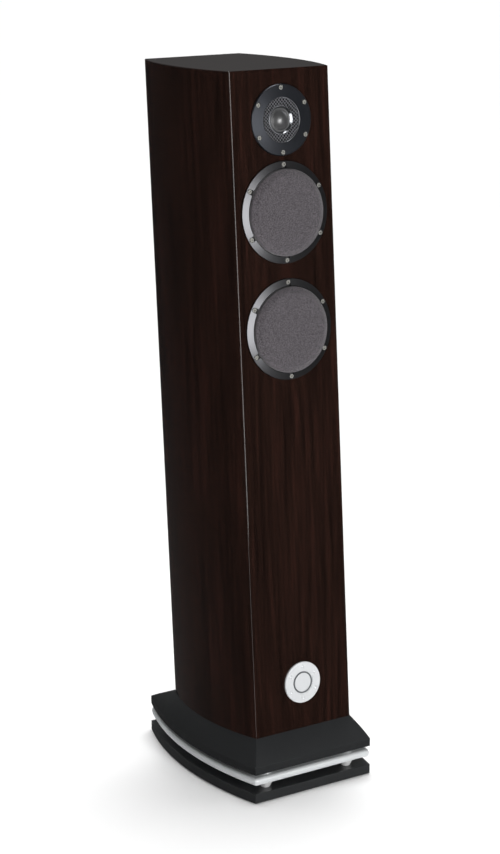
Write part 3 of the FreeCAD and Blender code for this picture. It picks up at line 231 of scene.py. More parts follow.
def stained_veneer():
    """Stained veneer: red-brown and near-black streaks, faint arched figure, pores, gloss lacquer."""
    material, shader = start_material("dark veneer under gloss lacquer", {
        "Roughness": 0.6, "Specular IOR Level": 0.0, "Coat Weight": 1.0, "Coat Roughness": 0.06,
        "Coat IOR": 1.5})
    tree = material.node_tree
    streak_place = object_place(tree, (steps(7.0), steps(7.0), steps(420.0)), upright)
    streaks = add_node(tree, "ShaderNodeTexNoise", {"Detail": 6.0, "Roughness": 0.62},
                       [("Vector", streak_place)])
    band_place = object_place(tree, (steps(46.0), steps(46.0), steps(900.0)), upright)
    bands = add_node(tree, "ShaderNodeTexNoise", {"Detail": 2.0}, [("Vector", band_place)])
    arch_middle = (0.004, 0, -0.42)
    figure_place = object_place(tree, (steps(60.0), steps(60.0), steps(620.0)), upright, arch_middle)
    figure = add_node(tree, "ShaderNodeTexWave", {
        "wave_type": "RINGS", "rings_direction": "Y", "Scale": 1.4, "Distortion": 2.4, "Detail": 3.0,
        "Detail Scale": 1.6}, [("Vector", figure_place)])
    mix_bands = add_node(tree, "ShaderNodeMath", {"operation": "MULTIPLY_ADD", 1: 0.55},
                         [(0, bands.outputs["Fac"]), (2, streaks.outputs["Fac"])])
    mix_figure = add_node(tree, "ShaderNodeMath", {"operation": "MULTIPLY_ADD", 1: 0.10},
                          [(0, figure.outputs["Fac"]), (2, mix_bands.outputs["Value"])])
    tone = add_node(tree, "ShaderNodeMapRange", {"From Min": 0.55, "From Max": 1.15},
                    [("Value", mix_figure.outputs["Value"])])
    ramp = add_node(tree, "ShaderNodeValToRGB", {}, [("Fac", tone.outputs["Result"])])
    stops = ramp.color_ramp.elements
    stops[0].color = colour("#110907")
    stops[1].color = colour("#301b16")
    middle = stops.new(0.5)
    middle.color = colour("#1e120e")
    pore_place = object_place(tree, (steps(0.9), steps(0.9), steps(16.0)), upright)
    pores = add_node(tree, "ShaderNodeTexNoise", {"Detail": 2.0}, [("Vector", pore_place)])
    pore_depth = add_node(tree, "ShaderNodeMapRange", {"From Min": 0.56, "From Max": 0.72},
                          [("Value", pores.outputs["Fac"])])
    darkened = add_node(tree, "ShaderNodeMix", {"data_type": "RGBA", "blend_type": "MULTIPLY"})
    tree.links.new(pore_depth.outputs["Result"], darkened.inputs["Factor"])
    tree.links.new(ramp.outputs["Color"], darkened.inputs[6])
    darkened.inputs[7].default_value = colour("#9a8f8c")
    tree.links.new(darkened.outputs[2], shader.inputs["Base Color"])
    bumped(tree, shader, streaks.outputs["Fac"], 0.02, 0.25)
    return material


veneer = stained_veneer()
for node in ("front_baffle", "left_side_panel", "right_side_panel", "rear_panel", "top_panel"):
    finish_node(node, veneer)


def raw_fibreboard():
    """Bare medium-density fibreboard: pale brown, matte, speckled with fibres."""
    material, shader = start_material("bare fibreboard", {"Roughness": 0.85})
    tree = material.node_tree
    place = object_place(tree, (steps(1.5),) * 3)
    fibres = add_node(tree, "ShaderNodeTexNoise", {"Detail": 6.0}, [("Vector", place)])
    ramp = add_node(tree, "ShaderNodeValToRGB", {}, [("Fac", fibres.outputs["Fac"])])
    ramp.color_ramp.elements[0].color = colour("#8a6b4a")
    ramp.color_ramp.elements[1].color = colour("#b3946c")
    tree.links.new(ramp.outputs["Color"], shader.inputs["Base Color"])
    return material


fibreboard = raw_fibreboard()
for node in ("bottom_panel", "window_braces"):
    finish_node(node, fibreboard)

# ---------------------------------------------------------------------------------------------
# Wadding.
# Two pads of loose polyester fibre, cut to size and stapled by their edges inside the rear panel.
# ---------------------------------------------------------------------------------------------


def local_frame(origin, across, up, out):
    """Matrix from a local frame, with its Z straight out of a panel, to the row frame."""
    turn = Matrix((across, up, out)).transposed().to_4x4()
    return Matrix.Translation(origin) @ turn


def new_piece(name, shape, material, smooth=True):
    """Turns a bmesh into an object with one material, in the row frame."""
    mesh = bpy.data.meshes.new(name)
    shape.to_mesh(mesh)
    shape.free()
    mesh.materials.append(material)
    if smooth:
        mesh.shade_smooth()
    piece = bpy.data.objects.new(name, mesh)
    bpy.context.scene.collection.objects.link(piece)
    return piece


def loose_fibre():
    """White polyester wadding: soft, dull, with tangled fibres and shallow dents."""
    material, shader = start_material("polyester wadding", {
        "Roughness": 0.95, "Specular IOR Level": 0.1, "Sheen Weight": 0.4})
    tree = material.node_tree
    place = object_place(tree, (steps(1.2), steps(1.2), steps(5.0)))
    fibres = add_node(tree, "ShaderNodeTexNoise", {"Detail": 6.0, "Distortion": 2.0},
                      [("Vector", place)])
    ramp = add_node(tree, "ShaderNodeValToRGB", {}, [("Fac", fibres.outputs["Fac"])])
    ramp.color_ramp.elements[0].color = colour("#b9b7b0")
    ramp.color_ramp.elements[1].color = colour("#efeeea")
    tree.links.new(ramp.outputs["Color"], shader.inputs["Base Color"])
    bumped(tree, shader, fibres.outputs["Fac"], 0.8, 0.7)
    return material


def pad_boxes():
    """Each pad's middle and half sizes along the panel's axes; the widest gap parts the two pads."""
    axes = (sideways, up_slope, straight_out)
    points = [vertex.co for vertex in frame["nodes"]["damping_wadding"].data.vertices]
    heights = sorted(point.dot(up_slope) for point in points)
    gaps = [(above - below, (above + below) / 2) for below, above in zip(heights, heights[1:])]
    split = max(gaps)[1]
    lower_pad = [point for point in points if point.dot(up_slope) < split]
    upper_pad = [point for point in points if point.dot(up_slope) > split]
    boxes = []
    for pad in (lower_pad, upper_pad):
        low = Vector([min(point.dot(axis) for point in pad) for axis in axes])
        high = Vector([max(point.dot(axis) for point in pad) for axis in axes])
        boxes.append(((low + high) / 2, (high - low) / 2))
    return boxes


def wadding_pad(name, middle, half, material):
    """A crowned pad whose faces fall towards its edges, with shallow uneven dents."""
    rows = 24
    dent = 1.6 * millimetre
    thin_share = 0.45
    edge_power = 6
    rim_pull = 0.04
    wander = 0.01
    wander_turns = 9
    uneven = random.Random(name)
    shape = bmesh.new()
    bmesh.ops.create_cube(shape, size=2.0)
    bmesh.ops.subdivide_edges(shape, edges=shape.edges, cuts=rows, use_grid_fill=True)
    for vertex in shape.verts:
        across, along, out = vertex.co
        crown = (1 - across ** edge_power) * (1 - along ** edge_power)
        thickness = thin_share + (1 - thin_share) * crown
        waved = wander * math.sin(wander_turns * along + across)
        pull_in = 1 - rim_pull * (1 - out ** 2) * (1 - crown) + waved
        drop = dent * uneven.random() / half.z * thickness
        vertex.co = (across * half.x * min(pull_in, 1), along * half.y * min(pull_in, 1),
                     math.copysign(max(abs(out) * thickness - drop, 0), out) * half.z)
    origin = sideways * middle.x + up_slope * middle.y + straight_out * middle.z
    shape.transform(local_frame(origin, sideways, up_slope, straight_out))
    return new_piece(name, shape, material)


wadding = loose_fibre()
for name, (middle, half) in zip(("lower_wadding_pad", "upper_wadding_pad"), pad_boxes()):
    pad = wadding_pad(name, middle, half, wadding)
    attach(pad, "cabinet")
    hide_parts("damping_wadding")

# ---------------------------------------------------------------------------------------------
# Badge.
# A round plate turned from aluminium and glued into the foot of the baffle. Its dimples and its
# dished middle are machined after bead blasting; the ring in the dish is filled with grey paint.
# ---------------------------------------------------------------------------------------------


def middle_of(node):
    low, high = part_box(node)
    return (low + high) / 2


def ring_place(tree, centre):
    """Distance from an axis that leans with the cabinet, and height along it, both in metres."""
    place = add_node(tree, "ShaderNodeTexCoord", {})
    offset = add_node(tree, "ShaderNodeVectorMath", {"operation": "SUBTRACT", 1: centre},
                      [(0, place.outputs["Object"])])
    crossed = add_node(tree, "ShaderNodeVectorMath", {"operation": "CROSS_PRODUCT", 1: straight_out},
                       [(0, offset.outputs["Vector"])])
    radius = add_node(tree, "ShaderNodeVectorMath", {"operation": "LENGTH"},
                      [(0, crossed.outputs["Vector"])])
    height = add_node(tree, "ShaderNodeVectorMath", {"operation": "DOT_PRODUCT", 1: straight_out},
                      [(0, offset.outputs["Vector"])])
    return radius.outputs["Value"], height.outputs["Value"]


def between(tree, value, low_mm, high_mm, soft_mm=0.15):
    """1 where a distance lies between two sizes, 0 elsewhere, with soft borders."""
    rise = add_node(tree, "ShaderNodeMapRange", {
        "From Min": (low_mm - soft_mm) * millimetre, "From Max": (low_mm + soft_mm) * millimetre},
        [("Value", value)])
    fall = add_node(tree, "ShaderNodeMapRange", {
        "From Min": (high_mm - soft_mm) * millimetre, "From Max": (high_mm + soft_mm) * millimetre,
        "To Min": 1.0, "To Max": 0.0}, [("Value", value)])
    both = add_node(tree, "ShaderNodeMath", {"operation": "MULTIPLY"},
                    [(0, rise.outputs["Result"]), (1, fall.outputs["Result"])])
    return both.outputs["Value"]


def mixed_colour(tree, shader, factor, first, second):
    """Base colour that goes from one colour to another."""
    mix = add_node(tree, "ShaderNodeMix", {"data_type": "RGBA"}, [("Factor", factor)])
    mix.inputs[6].default_value = colour(first)
    mix.inputs[7].default_value = colour(second)
    tree.links.new(mix.outputs[2], shader.inputs["Base Color"])
    return mix


def badge_aluminium():
    """Bead-blasted aluminium with a painted ring in its dish and fine turning marks."""
    material, shader = start_material("badge aluminium", {"Metallic": 0.15, "Roughness": 0.34})
    tree = material.node_tree
    radius, _ = ring_place(tree, middle_of("badge"))
    painted_ring_mm = (14.7, 17.0)
    paint = between(tree, radius, *painted_ring_mm)
    mixed_colour(tree, shader, paint, "#d2d4d6", "#5c5f62")
    grooves = add_node(tree, "ShaderNodeMath", {"operation": "MULTIPLY", 1: steps(0.4)}, [(0, radius)])
    wave = add_node(tree, "ShaderNodeMath", {"operation": "SINE"}, [(0, grooves.outputs["Value"])])
    bumped(tree, shader, wave.outputs["Value"], 0.01, 0.2)
    return material


finish_node("badge", badge_aluminium())

# ---------------------------------------------------------------------------------------------
# Woofers.
# Cast alloy baskets, painted satin; rubber surrounds and coated pulp cones glued to them; resin-dipped
# cloth spiders; copper coils on thin formers; ferrite ring magnets between turned steel plates.
# ---------------------------------------------------------------------------------------------


def cast_alloy(name, centre):
    """Satin dark paint on cast alloy, its front ring turned bright enough to catch the light."""
    material, shader = start_material(name, {"Metallic": 0.92, "Roughness": 0.3})
    tree = material.node_tree
    radius, height = ring_place(tree, centre)
    front_ring_mm = (1.0, 60.0)
    face = between(tree, height, *front_ring_mm, soft_mm=0.2)
    mixed_colour(tree, shader, face, "#2a2b2d", "#4f4f51")
    place = object_place(tree, (steps(0.8),) * 3)
    grain = add_node(tree, "ShaderNodeTexNoise", {"Detail": 3.0}, [("Vector", place)])
    marks = add_node(tree, "ShaderNodeMath", {"operation": "MULTIPLY", 1: steps(0.35)}, [(0, radius)])
    wave = add_node(tree, "ShaderNodeMath", {"operation": "SINE"}, [(0, marks.outputs["Value"])])
    relief = add_node(tree, "ShaderNodeMath", {"operation": "MULTIPLY_ADD", 1: 0.25},
                      [(0, wave.outputs["Value"]), (2, grain.outputs["Fac"])])
    bumped(tree, shader, relief.outputs["Value"], 0.02, 0.25)
    return material


def coated_pulp():
    """Pressed paper pulp with a dull black coating; short fibres show through."""
    material, shader = start_material("coated pulp", {"Roughness": 0.62})
    tree = material.node_tree
    place = object_place(tree, (steps(1.1), steps(1.1), steps(2.6)))
    fibres = add_node(tree, "ShaderNodeTexNoise", {"Detail": 5.0, "Distortion": 1.2},
                      [("Vector", place)])
    mixed_colour(tree, shader, fibres.outputs["Fac"], "#1a1a1b", "#303033")
    bumped(tree, shader, fibres.outputs["Fac"], 0.12, 0.5)
    return material


def woven_cloth(name, dark, light, pitch_mm, relief_mm):
    """Plain weave: threads over and under each other both ways, in two shades."""
    material, shader = start_material(name, {
        "Roughness": 0.9, "Specular IOR Level": 0.15, "Sheen Weight": 0.2, "Sheen Roughness": 0.5})
    tree = material.node_tree
    place = object_place(tree, (steps(pitch_mm) * math.pi,) * 3, upright)
    parts = add_node(tree, "ShaderNodeSeparateXYZ", {}, [("Vector", place)])
    waves = []
    for axis in ("X", "Z"):
        waves.append(add_node(tree, "ShaderNodeMath", {"operation": "SINE"}, [(0, parts.outputs[axis])]))
    weave = add_node(tree, "ShaderNodeMath", {"operation": "MULTIPLY"},
                     [(0, waves[0].outputs["Value"]), (1, waves[1].outputs["Value"])])
    fleck_place = object_place(tree, (steps(4.2),) * 3, upright)
    flecks = add_node(tree, "ShaderNodeTexNoise", {"Detail": 2.0, "Roughness": 0.5},
                      [("Vector", fleck_place)])
    tone = add_node(tree, "ShaderNodeMath", {"operation": "MULTIPLY_ADD", 1: 0.06},
                    [(0, weave.outputs["Value"]), (2, flecks.outputs["Fac"])])
    spread = add_node(tree, "ShaderNodeMapRange", {"From Min": 0.38, "From Max": 0.62},
                      [("Value", tone.outputs["Value"])])
    mixed_colour(tree, shader, spread.outputs["Result"], dark, light)
    bumped(tree, shader, weave.outputs["Value"], relief_mm, 0.6)
    return material


def wound_copper(pitch_mm):
    """Enamelled copper wire wound side by side: round ridges, dark between the turns."""
    material, shader = start_material("enamelled copper wire", {
        "Metallic": 0.9, "Roughness": 0.28, "Coat Weight": 0.5})
    tree = material.node_tree
    place = object_place(tree, (0, 0, steps(pitch_mm) * 2 * math.pi), upright)
    parts = add_node(tree, "ShaderNodeSeparateXYZ", {}, [("Vector", place)])
    turns = add_node(tree, "ShaderNodeMath", {"operation": "SINE"}, [(0, parts.outputs["Z"])])
    spread = add_node(tree, "ShaderNodeMapRange", {"From Min": -1.0},
                      [("Value", turns.outputs["Value"])])
    mixed_colour(tree, shader, spread.outputs["Result"], "#5a2410", "#c9733a")
    bumped(tree, shader, turns.outputs["Value"], 0.15, 0.6)
    return material


def speckled(name, dark, light, grain_mm, roughness, relief_mm, metallic=0.0):
    """A plain stuff with fine grain in two shades: ferrite, plastic, paint, cement or foam."""
    material, shader = start_material(name, {"Roughness": roughness, "Metallic": metallic})
    tree = material.node_tree
    place = object_place(tree, (steps(grain_mm),) * 3)
    grain = add_node(tree, "ShaderNodeTexNoise", {"Detail": 4.0, "Roughness": 0.6}, [("Vector", place)])
    mixed_colour(tree, shader, grain.outputs["Fac"], dark, light)
    bumped(tree, shader, grain.outputs["Fac"], relief_mm, 0.4)
    return material


pulp = coated_pulp()
copper = wound_copper(0.9)
ferrite = speckled("sintered ferrite", "#1d1d1e", "#333335", 1.5, 0.55, 0.05)
surround_rubber = speckled("surround rubber", "#141415", "#1e1e20", 2.0, 0.5, 0.03)
spider_cloth = woven_cloth("resin-dipped cotton", "#8a5a22", "#c08a3c", 0.9, 0.1)
out_of_magnet = {"woofer": 65.5 * millimetre, "tweeter": 12.5 * millimetre}
woofer_centres = {}
for woofer in ("upper_woofer", "lower_woofer"):
    centre = middle_of(woofer + "_magnet") + straight_out * out_of_magnet["woofer"]
    woofer_centres[woofer] = centre
    finish_node(woofer + "_basket", cast_alloy("satin cast alloy, " + woofer.replace("_", " "), centre))
    finish_node(woofer + "_surround", surround_rubber)
    finish_node(woofer + "_cone", pulp)
    finish_node(woofer + "_dust_cap", pulp)
    finish_node(woofer + "_spider", spider_cloth)
    finish_node(woofer + "_voice_coil", copper)
    finish_node(woofer + "_motor_steel", dark_steel)
    finish_node(woofer + "_magnet", ferrite)

# ---------------------------------------------------------------------------------------------
# Gaskets and woofer screws.
# Punched foam rings under each frame; zinc-plated socket screws, six to a woofer, into the baffle.
# ---------------------------------------------------------------------------------------------

foam = speckled("closed-cell foam", "#131313", "#242424", 0.7, 0.9, 0.2)
finish_node("sealing_gaskets", foam)
finish_node("woofer_screws", plated_steel)

# ---------------------------------------------------------------------------------------------
# Woofer grilles.
# A moulded frame of ribs and rings, with grey acoustic cloth stretched over it and glued behind its
# rim. Each pushes into the ring of its woofer and pulls straight off.
# ---------------------------------------------------------------------------------------------


def rounded_line(points, reach, cuts):
    """Open polyline whose inner corners are curves that start and end this far from the corner."""
    line = [Vector(points[0])]
    for before, corner, after in zip(points, points[1:], points[2:]):
        corner = Vector(corner)
        into = corner + (Vector(before) - corner).normalized() * reach
        onward = corner + (Vector(after) - corner).normalized() * reach
        for step in range(cuts + 1):
            share = step / cuts
            line.append(into.lerp(corner, share).lerp(corner.lerp(onward, share), share))
    line.append(Vector(points[-1]))
    return line


def turned(line, place, segments):
    """Spins a line of (radius, height) round the local Z axis and puts it in a local frame."""
    weld_distance = 0.00001
    shape = bmesh.new()
    verts = [shape.verts.new((radius, 0, height)) for radius, height in line]
    edges = [shape.edges.new(pair) for pair in zip(verts, verts[1:])]
    bmesh.ops.spin(shape, geom=verts + edges, cent=(0, 0, 0), axis=(0, 0, 1), angle=2 * math.pi,
                   steps=segments, use_merge=True)
    bmesh.ops.remove_doubles(shape, verts=shape.verts, dist=weld_distance)
    bmesh.ops.recalc_face_normals(shape, faces=shape.faces)
    shape.transform(place)
    return shape


cloth_thickness = 0.4 * millimetre
grille_rim_radius = 63.95 * millimetre
grille_flat_radius = 55.0 * millimetre
grille_slack_radius = 0.6 * grille_flat_radius
grille_depth = 14.47 * millimetre
shoulder_depth = 9.0 * millimetre
cloth_start = -0.55 * millimetre
cloth_bend = 1.8 * millimetre
bend_cuts = 5
cloth_segments = 128


def grille_cloth(name, centre, material):
    """Cloth over the frame: straight rim, sloping shoulder, and a flat front pulled slightly in."""
    slack = 0.02 * millimetre
    outline = [(grille_rim_radius, cloth_start), (grille_rim_radius, shoulder_depth),
               (grille_flat_radius, grille_depth), (grille_slack_radius, grille_depth - slack),
               (0, grille_depth - slack)]
    outer = rounded_line(outline, cloth_bend, bend_cuts)
    place = local_frame(centre, sideways, up_slope, straight_out)
    shape = turned([(point.x, point.y) for point in outer], place, cloth_segments)
    if sum(face.normal.dot(straight_out) * face.calc_area() for face in shape.faces) < 0:
        bmesh.ops.reverse_faces(shape, faces=shape.faces)
    piece = new_piece(name, shape, material)
    skin = piece.modifiers.new("cloth thickness", "SOLIDIFY")
    skin.thickness = cloth_thickness
    skin.offset = -1.0
    return piece


acoustic_cloth = woven_cloth("grey acoustic cloth", "#141316", "#645f63", 0.8, 0.12)
moulded_black = speckled("moulded black plastic", "#151516", "#1f1f21", 0.9, 0.5, 0.04)
for side in ("upper", "lower"):
    finish_node(side + "_woofer_grille_frame", moulded_black)
    cloth = grille_cloth(side + "_grille_cloth", woofer_centres[side + "_woofer"], acoustic_cloth)
    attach(cloth, side + "_grille")
    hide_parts(side + "_woofer_grille_cloth")

# ---------------------------------------------------------------------------------------------
# Tweeter.
# A turned aluminium faceplate, painted satin anthracite with a bare lip round the dome; a ring of
# diamond mesh in its recess; a doped fabric dome and roll; a copper coil in a small ferrite motor.
# ---------------------------------------------------------------------------------------------

tweeter_centre = middle_of("tweeter_magnet") + straight_out * out_of_magnet["tweeter"]


def anthracite_faceplate():
    """Satin anthracite paint and a bare polished lip; the recess under the mesh is coloured near black
    as painted shade.

    The face is flat; its turning marks lean outward a little, which shades it from side to side.
    """
    lip_mm = (17.0, 20.4)
    painted_shade_recess_mm = (20.5, 33.1)
    face_inner_mm = 33.0
    lean_step_mm = 0.07
    material, shader = start_material("satin anthracite faceplate", {"Roughness": 0.3, "Metallic": 0.7})
    tree = material.node_tree
    radius, _ = ring_place(tree, tweeter_centre)
    bare = between(tree, radius, *lip_mm)
    mixed = mixed_colour(tree, shader, bare, "#303237", "#a9abaf")
    # Painted shade: the recess under the mesh is coloured near black to stand for the shade behind the
    # mesh, so its openings read dark.
    recess = between(tree, radius, *painted_shade_recess_mm, soft_mm=0.05)
    blackened = add_node(tree, "ShaderNodeMix", {"data_type": "RGBA"}, [("Factor", recess)])
    tree.links.new(mixed.outputs[2], blackened.inputs[6])
    blackened.inputs[7].default_value = colour("#060607")
    tree.links.new(blackened.outputs[2], shader.inputs["Base Color"])
    for socket, painted, polished in (("Metallic", 0.7, 1.0), ("Roughness", 0.3, 0.27)):
        level = add_node(tree, "ShaderNodeMapRange", {"To Min": painted, "To Max": polished},
                         [("Value", bare)])
        tree.links.new(level.outputs["Result"], shader.inputs[socket])
    place = object_place(tree, (steps(0.6),) * 3)
    grain = add_node(tree, "ShaderNodeTexNoise", {"Detail": 3.0}, [("Vector", place)])
    face_radius = add_node(tree, "ShaderNodeMath", {
        "operation": "MAXIMUM", 1: face_inner_mm * millimetre}, [(0, radius)])
    leaning = add_node(tree, "ShaderNodeMath", {"operation": "MULTIPLY_ADD", 1: -steps(lean_step_mm)},
                       [(0, face_radius.outputs["Value"]), (2, grain.outputs["Fac"])])
    bumped(tree, shader, leaning.outputs["Value"], 0.02, 0.3)
    return material


def doped_fabric():
    """Fine silk weave under a tacky dark coating: soft broad highlight."""
    material, shader = start_material("doped fabric", {
        "Roughness": 0.38, "Specular IOR Level": 1.0, "Coat Weight": 0.6, "Coat Roughness": 0.24})
    tree = material.node_tree
    place = object_place(tree, (steps(0.35),) * 3, upright)
    weave = add_node(tree, "ShaderNodeTexVoronoi", {}, [("Vector", place)])
    patch_place = object_place(tree, (steps(4.0),) * 3)
    patches = add_node(tree, "ShaderNodeTexNoise", {"Detail": 3.0}, [("Vector", patch_place)])
    mixed_colour(tree, shader, patches.outputs["Fac"], "#232324", "#4a4a4b")
    bumped(tree, shader, weave.outputs["Distance"], 0.03, 0.35)
    return material


mesh_inner_radius = 20.5 * millimetre
mesh_outer_radius = 32.9 * millimetre
mesh_pitch = 3.7 * millimetre
mesh_wire = 0.7 * millimetre
mesh_low = -0.6 * millimetre
mesh_rise = 1.2 * millimetre


def diamond_mesh(name, material):
    """Ring of expanded mesh: a square lattice turned on its corner, trimmed to the ring and dished.

    The real openings are about 2 mm; they are drawn coarser so that they still show from across a room.
    """
    cells = math.ceil(2 * mesh_outer_radius / mesh_pitch) + 2
    shape = bmesh.new()
    bmesh.ops.create_grid(shape, x_segments=cells, y_segments=cells, size=cells * mesh_pitch / 2)
    shape.transform(Matrix.Rotation(math.radians(45), 4, "Z"))
    outside = [face for face in shape.faces
               if not mesh_inner_radius < face.calc_center_median().length < mesh_outer_radius]
    bmesh.ops.delete(shape, geom=outside, context="FACES")
    for vertex in shape.verts:
        radius = vertex.co.length
        on_border = any(edge.is_boundary for edge in vertex.link_edges)
        if on_border or not mesh_inner_radius < radius < mesh_outer_radius:
            nearer_inner = radius < (mesh_inner_radius + mesh_outer_radius) / 2
            vertex.co *= (mesh_inner_radius if nearer_inner else mesh_outer_radius) / radius
    for vertex in shape.verts:
        share = (vertex.co.length - mesh_inner_radius) / (mesh_outer_radius - mesh_inner_radius)
        vertex.co.z = mesh_low + mesh_wire / 2 + mesh_rise * share
    bmesh.ops.recalc_face_normals(shape, faces=shape.faces)
    bmesh.ops.wireframe(shape, faces=shape.faces, thickness=mesh_wire, offset=0, use_replace=True,
                        use_boundary=True, use_even_offset=True)
    shape.transform(local_frame(tweeter_centre, sideways, up_slope, straight_out))
    return new_piece(name, shape, material, smooth=False)


mesh_paint = speckled("painted steel mesh", "#8b8c92", "#b4b5bb", 0.8, 0.3, 0.03, metallic=0.5)
lattice = diamond_mesh("tweeter_diamond_mesh", mesh_paint)
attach(lattice, "cabinet")
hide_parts("tweeter_mesh")

dome_silk = doped_fabric()
finish_node("tweeter_faceplate", anthracite_faceplate())
finish_node("tweeter_dome", dome_silk)
finish_node("tweeter_surround", dome_silk)
finish_node("tweeter_voice_coil", copper)
finish_node("tweeter_motor_steel", dark_steel)
finish_node("tweeter_magnet", ferrite)
finish_node("tweeter_rear_cup", moulded_black)
finish_node("tweeter_screws", plated_steel)

# ---------------------------------------------------------------------------------------------
# Reflex port and terminals.
# The port is a moulded tube pushed in from behind. Gold-plated brass posts are bolted through a
# painted plate; a washer and a threaded knob on each clamp bare wire, and a plug goes in its end.
# ---------------------------------------------------------------------------------------------


def gold_plate():
    """Gold on turned brass: warm, bright, with hairline turning marks."""
    material, shader = start_material("gold-plated brass", {"Metallic": 1.0, "Roughness": 0.2})
    tree = material.node_tree
    place = object_place(tree, (steps(6.0), steps(0.25), steps(6.0)))
    marks = add_node(tree, "ShaderNodeTexNoise", {"Detail": 2.0}, [("Vector", place)])
    mixed_colour(tree, shader, marks.outputs["Fac"], "#c89b45", "#e6c777")
    bumped(tree, shader, marks.outputs["Fac"], 0.01, 0.3)
    return material


gold = gold_plate()
knob_red = speckled("moulded red plastic", "#8c0f10", "#a81819", 1.2, 0.32, 0.03)
terminal_paint = speckled("satin anthracite paint", "#2b2d30", "#3a3c40", 0.7, 0.4, 0.04, metallic=0.3)
finish_node("port_tube", moulded_black)
finish_node("terminal_plate", terminal_paint)
finish_node("terminal_screws", dark_steel)
finish_node("binding_posts", gold)
finish_node("positive_washer", gold)
finish_node("negative_washer", gold)
finish_node("positive_knob", knob_red)
finish_node("negative_knob", moulded_black)

# ---------------------------------------------------------------------------------------------
# Crossover and leads.
# A glass-fibre board on spacers, with wound coils, film capacitors and cement resistors soldered to
# it. Twin leads in a clear yellow jacket run from it to the drivers.
# ---------------------------------------------------------------------------------------------


def circuit_laminate():
    """Green solder mask on glass-fibre laminate, with lighter copper tracks under it."""
    material, shader = start_material("circuit board", {"Roughness": 0.35})
    tree = material.node_tree
    place = object_place(tree, (steps(14.0),) * 3)
    tracks = add_node(tree, "ShaderNodeTexBrick", {
        "Color1": colour("#0b3d22"), "Color2": colour("#0d4527"), "Mortar": colour("#3f7d3a"),
        "Mortar Size": 0.04, "Scale": 1.0}, [("Vector", place)])
    tree.links.new(tracks.outputs["Color"], shader.inputs["Base Color"])
    bumped(tree, shader, tracks.outputs["Fac"], 0.04, 0.4)
    return material


capacitor_wrap = speckled("wrapped film capacitor", "#23303f", "#2e3f52", 3.0, 0.35, 0.02)
cement = speckled("fired cement", "#cfcbc0", "#e6e3da", 0.8, 0.8, 0.08)
lead_jacket = speckled("clear yellow jacket over copper", "#a07a2c", "#c49a40", 1.6, 0.3, 0.03)
finish_node("crossover_board", circuit_laminate())
finish_node("crossover_coils", copper)
finish_node("crossover_capacitors", capacitor_wrap)
finish_node("crossover_resistors", cement)
finish_node("speaker_leads", lead_jacket)

# ---------------------------------------------------------------------------------------------
# Studio: a pale floor, soft lights, and the camera in front and to the left of the speaker.
# ---------------------------------------------------------------------------------------------


def studio_floor():
    """A floor of white paper, far wider than the view, kept out of mirror reflections."""
    reach = 40.0
    mesh = bpy.data.meshes.new("studio_floor")
    shape = bmesh.new()
    bmesh.ops.create_grid(shape, x_segments=1, y_segments=1, size=reach)
    shape.to_mesh(mesh)
    shape.free()
    floor = bpy.data.objects.new("studio_floor", mesh)
    bpy.context.scene.collection.objects.link(floor)
    paper, _ = start_material("white studio paper", {
        "Base Color": colour("#fdfdfd"), "Roughness": 0.9, "Specular IOR Level": 0.0})
    mesh.materials.append(paper)
    floor.visible_glossy = False


def soft_light(name, place, target, width, height, power):
    """A flat soft light, its face turned to a target."""
    lamp = bpy.data.lights.new(name, "AREA")
    lamp.shape = "RECTANGLE"
    lamp.size = width
    lamp.size_y = height
    lamp.energy = power
    light = bpy.data.objects.new(name, lamp)
    light.location = place
    light.rotation_euler = (Vector(target) - Vector(place)).to_track_quat("-Z", "Y").to_euler()
    bpy.context.scene.collection.objects.link(light)


def overhead_light():
    """A broad light from above and a little behind and to one side."""
    lamp = bpy.data.lights.new("overhead", "SUN")
    lamp.energy = 3.2
    lamp.angle = math.radians(40)
    light = bpy.data.objects.new("overhead", lamp)
    light.rotation_euler = (math.radians(-13), math.radians(10), 0)
    bpy.context.scene.collection.objects.link(light)


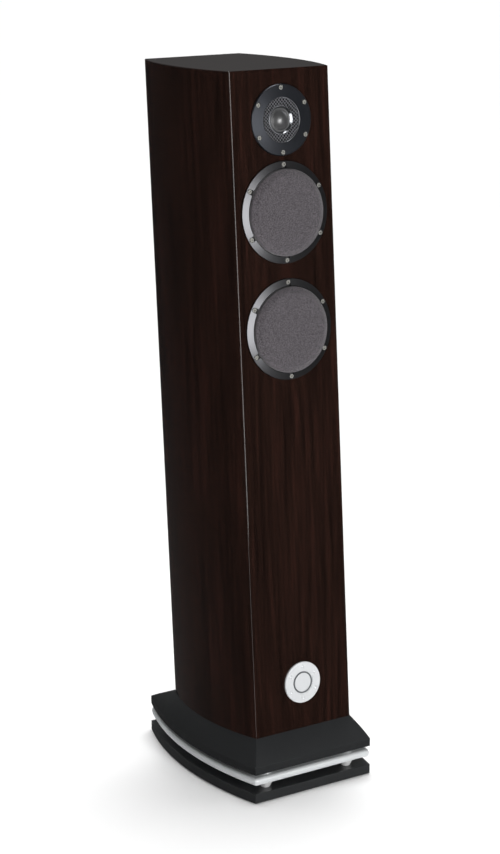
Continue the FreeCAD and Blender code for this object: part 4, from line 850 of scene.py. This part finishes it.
def studio_world():
    """White where the camera sees past the floor; elsewhere dim, and lighter behind the speaker."""
    world = bpy.data.worlds.new("studio")
    bpy.context.scene.world = world
    world.use_nodes = True
    tree = world.node_tree
    dim = tree.nodes["Background"]
    place = add_node(tree, "ShaderNodeTexCoord", {})
    parts = add_node(tree, "ShaderNodeSeparateXYZ", {}, [("Vector", place.outputs["Generated"])])
    depth = parts.outputs["Y"]
    height = parts.outputs["Z"]
    behind = add_node(tree, "ShaderNodeMapRange", {"From Min": 0.1, "From Max": 0.9},
                      [("Value", depth)])
    above = add_node(tree, "ShaderNodeMapRange", {"From Min": 0.0, "From Max": 0.2},
                     [("Value", height)])
    below = add_node(tree, "ShaderNodeMapRange", {"From Min": -0.22, "From Max": -0.4, "To Max": 0.35},
                     [("Value", height)])
    ends = add_node(tree, "ShaderNodeMath", {"operation": "MAXIMUM"},
                    [(0, above.outputs["Result"]), (1, below.outputs["Result"])])
    glow = add_node(tree, "ShaderNodeMath", {"operation": "MULTIPLY"},
                    [(0, ends.outputs["Value"]), (1, behind.outputs["Result"])])
    level = add_node(tree, "ShaderNodeMapRange", {"To Min": 0.02, "To Max": 0.17},
                     [("Value", glow.outputs["Value"])])
    tree.links.new(level.outputs["Result"], dim.inputs["Strength"])
    white = (1, 1, 1, 1)
    dim.inputs["Color"].default_value = white
    seen = add_node(tree, "ShaderNodeBackground", {"Color": white, "Strength": 1.0})
    path = add_node(tree, "ShaderNodeLightPath", {})
    both = add_node(tree, "ShaderNodeMixShader", {}, [(0, path.outputs["Is Camera Ray"]),
                                                     (1, dim.outputs["Background"]),
                                                     (2, seen.outputs["Background"])])
    tree.links.new(both.outputs["Shader"], tree.nodes["World Output"].inputs["Surface"])


def studio_camera():
    """Camera in front and to the left, looking down a little.

    The focal length and the long side of the picture are in one unit, so only their ratio counts.
    """
    focal_length = 2272.15
    long_side = 854
    eye = (-1.868, -2.805, 1.409)
    heading = 0.58677
    pitch = 0.25371
    lens = bpy.data.cameras.new("camera")
    lens.sensor_fit = "AUTO"
    lens.sensor_width = 36.0
    lens.lens = focal_length * lens.sensor_width / long_side
    camera = bpy.data.objects.new("camera", lens)
    camera.location = eye
    camera.rotation_euler = (math.pi / 2 - pitch, 0, -heading)
    bpy.context.scene.collection.objects.link(camera)
    bpy.context.scene.camera = camera


studio_floor()
speaker_middle = (0, 0, (cad_low[2] + cad_high[2]) / 2)
soft_light("front softbox", (0.35, -3.0, 0.75), speaker_middle, width=1.3, height=1.5, power=62)
soft_light("left softbox", (-2.7, -1.7, 0.5), speaker_middle, width=0.7, height=3.4, power=42)
overhead_light()
studio_world()
studio_camera()
bpy.context.scene.view_settings.view_transform = "Standard"
